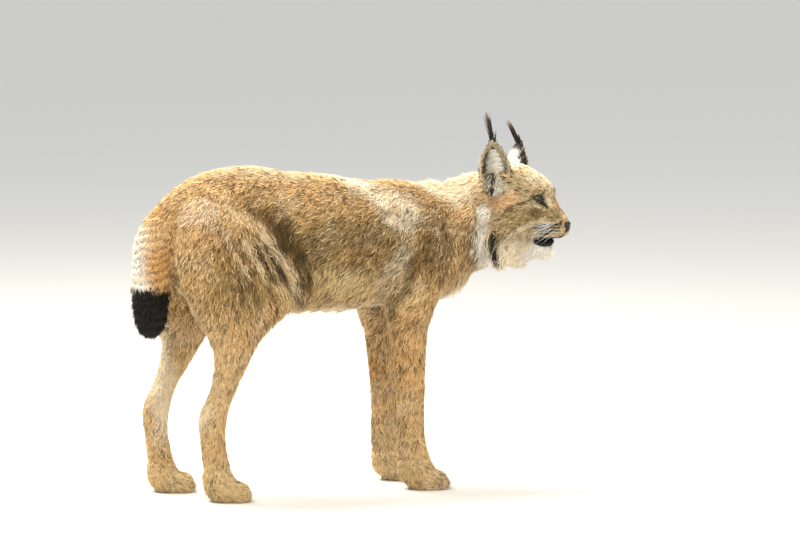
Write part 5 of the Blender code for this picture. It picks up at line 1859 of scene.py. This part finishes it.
# %% [markdown]
# ## Dressing
# Each piece gets its finish and the body that carries it. It could be done where each piece is made, but
# here all of it can be read in one place. One skin stands for all the flesh.
# %% Dressing the pieces
FLESH = [name for name in frame["nodes"] if name not in ("eye_left", "eye_right", "nose")]


def dress(obj, material):
    obj.data.materials.clear()
    obj.data.materials.append(material)
    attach(obj, "root")


dress(skin, HIDE)
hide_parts(*FLESH)
for obj in coats:
    dress(obj, FUR)
for obj in eyes:
    dress(obj, EYE)
for obj in rims + lips:
    dress(obj, DARK_MOUTH_SHADE if obj.name == "mouth_shade" else LID)
dress(nose, NOSE)
dress(whisker_piece, WHISKER)
dress(claw_piece, CLAW)


# %% [markdown]
# ## Floor and light
# A studio has a wide pale sweep of paper and large soft lamps. One small lamp would be simpler, but every
# tuft would throw a hard shadow and the coat would look like scales. So a warm lamp hangs high in front on
# the left, a strong one behind the animal lights the tips of the coat along its back, a weak one low on the
# right opens the shadows, and a bright surround gives the even light of an overcast day.
# %% Stage
HALF_FLOOR = 40
floor = add("floor", mesh_from("floor", [(x * HALF_FLOOR, y * HALF_FLOOR, 0) for x, y in
    ((-1, -1), (1, -1), (1, 1), (-1, 1))], [(0, 1, 2, 3)]))
# Matt paper: no reflection of the animal, only its soft shadow.
floor.data.materials.append(plain("pale_studio_floor", "#dbdad6", 0.9, 0.1))


def soft_light(name, place, aim, size, power, code):
    lamp = bpy.data.lights.new(name, "AREA")
    lamp.size = size
    lamp.energy = power
    lamp.color = linear(code)
    obj = bpy.data.objects.new(name, lamp)
    obj.location = place
    obj.rotation_euler = (Vector(aim) - Vector(place)).to_track_quat("-Z", "Y").to_euler()
    scene.collection.objects.link(obj)


world = bpy.data.worlds.new("studio")
scene.world = world
world.use_nodes = True
world.node_tree.nodes["Background"].inputs["Color"].default_value = (*linear("#f4f6f8"), 1)
world.node_tree.nodes["Background"].inputs["Strength"].default_value = 0.95
soft_light("key", (-1.4, -1.8, 3.0), (0, 0, 0.35), 1.4, 90, "#fff4e2")
soft_light("rim", (-1.0, 1.2, 3.0), (0, 0, 0.45), 1.4, 220, "#fff6e6")
soft_light("fill", (1.6, -2.4, 1.2), (0.15, 0, 0.42), 1.8, 34, "#fffaf0")
scene.view_settings.view_transform = "Standard"

# %% [markdown]
# ## Camera
# The camera looks at the animal's right side from a little in front and a little above. It could be placed by
# eye, but a long lens ten metres away keeps the proportions true, and its aim follows from the size of a
# pixel.
# %% Camera
AZIMUTH = radians(-22)
ELEVATION = radians(6)
DISTANCE = 10.0
SENSOR_WIDTH = 36
FRAME_WIDTH, FRAME_HEIGHT = 800, 533
PIXEL = 0.0019  # metres of the animal for one pixel of a frame of that size
FOOT = Vector((0.0211, 0.0025, 0))  # a point of the floor between the paws
FOOT_PIXEL = (355, 487)  # where it lies in the frame

right = Vector((cos(AZIMUTH), sin(AZIMUTH), 0))
back = Vector((sin(AZIMUTH) * cos(ELEVATION), -cos(AZIMUTH) * cos(ELEVATION), sin(ELEVATION)))
up = back.cross(right)
aim = FOOT + (right * (FRAME_WIDTH / 2 - FOOT_PIXEL[0]) + up * (FOOT_PIXEL[1] - FRAME_HEIGHT / 2)) * PIXEL
lens = bpy.data.cameras.new("camera")
lens.sensor_width = SENSOR_WIDTH
lens.lens = SENSOR_WIDTH * DISTANCE / (FRAME_WIDTH * PIXEL)
lens.clip_end = 100
camera = bpy.data.objects.new("camera", lens)
camera.location = aim + back * DISTANCE
camera.rotation_euler = (-back).to_track_quat("-Z", "Y").to_euler()
scene.collection.objects.link(camera)
scene.camera = camera
print("lens", round(lens.lens), "mm, aimed at", tuple(round(v, 3) for v in aim))
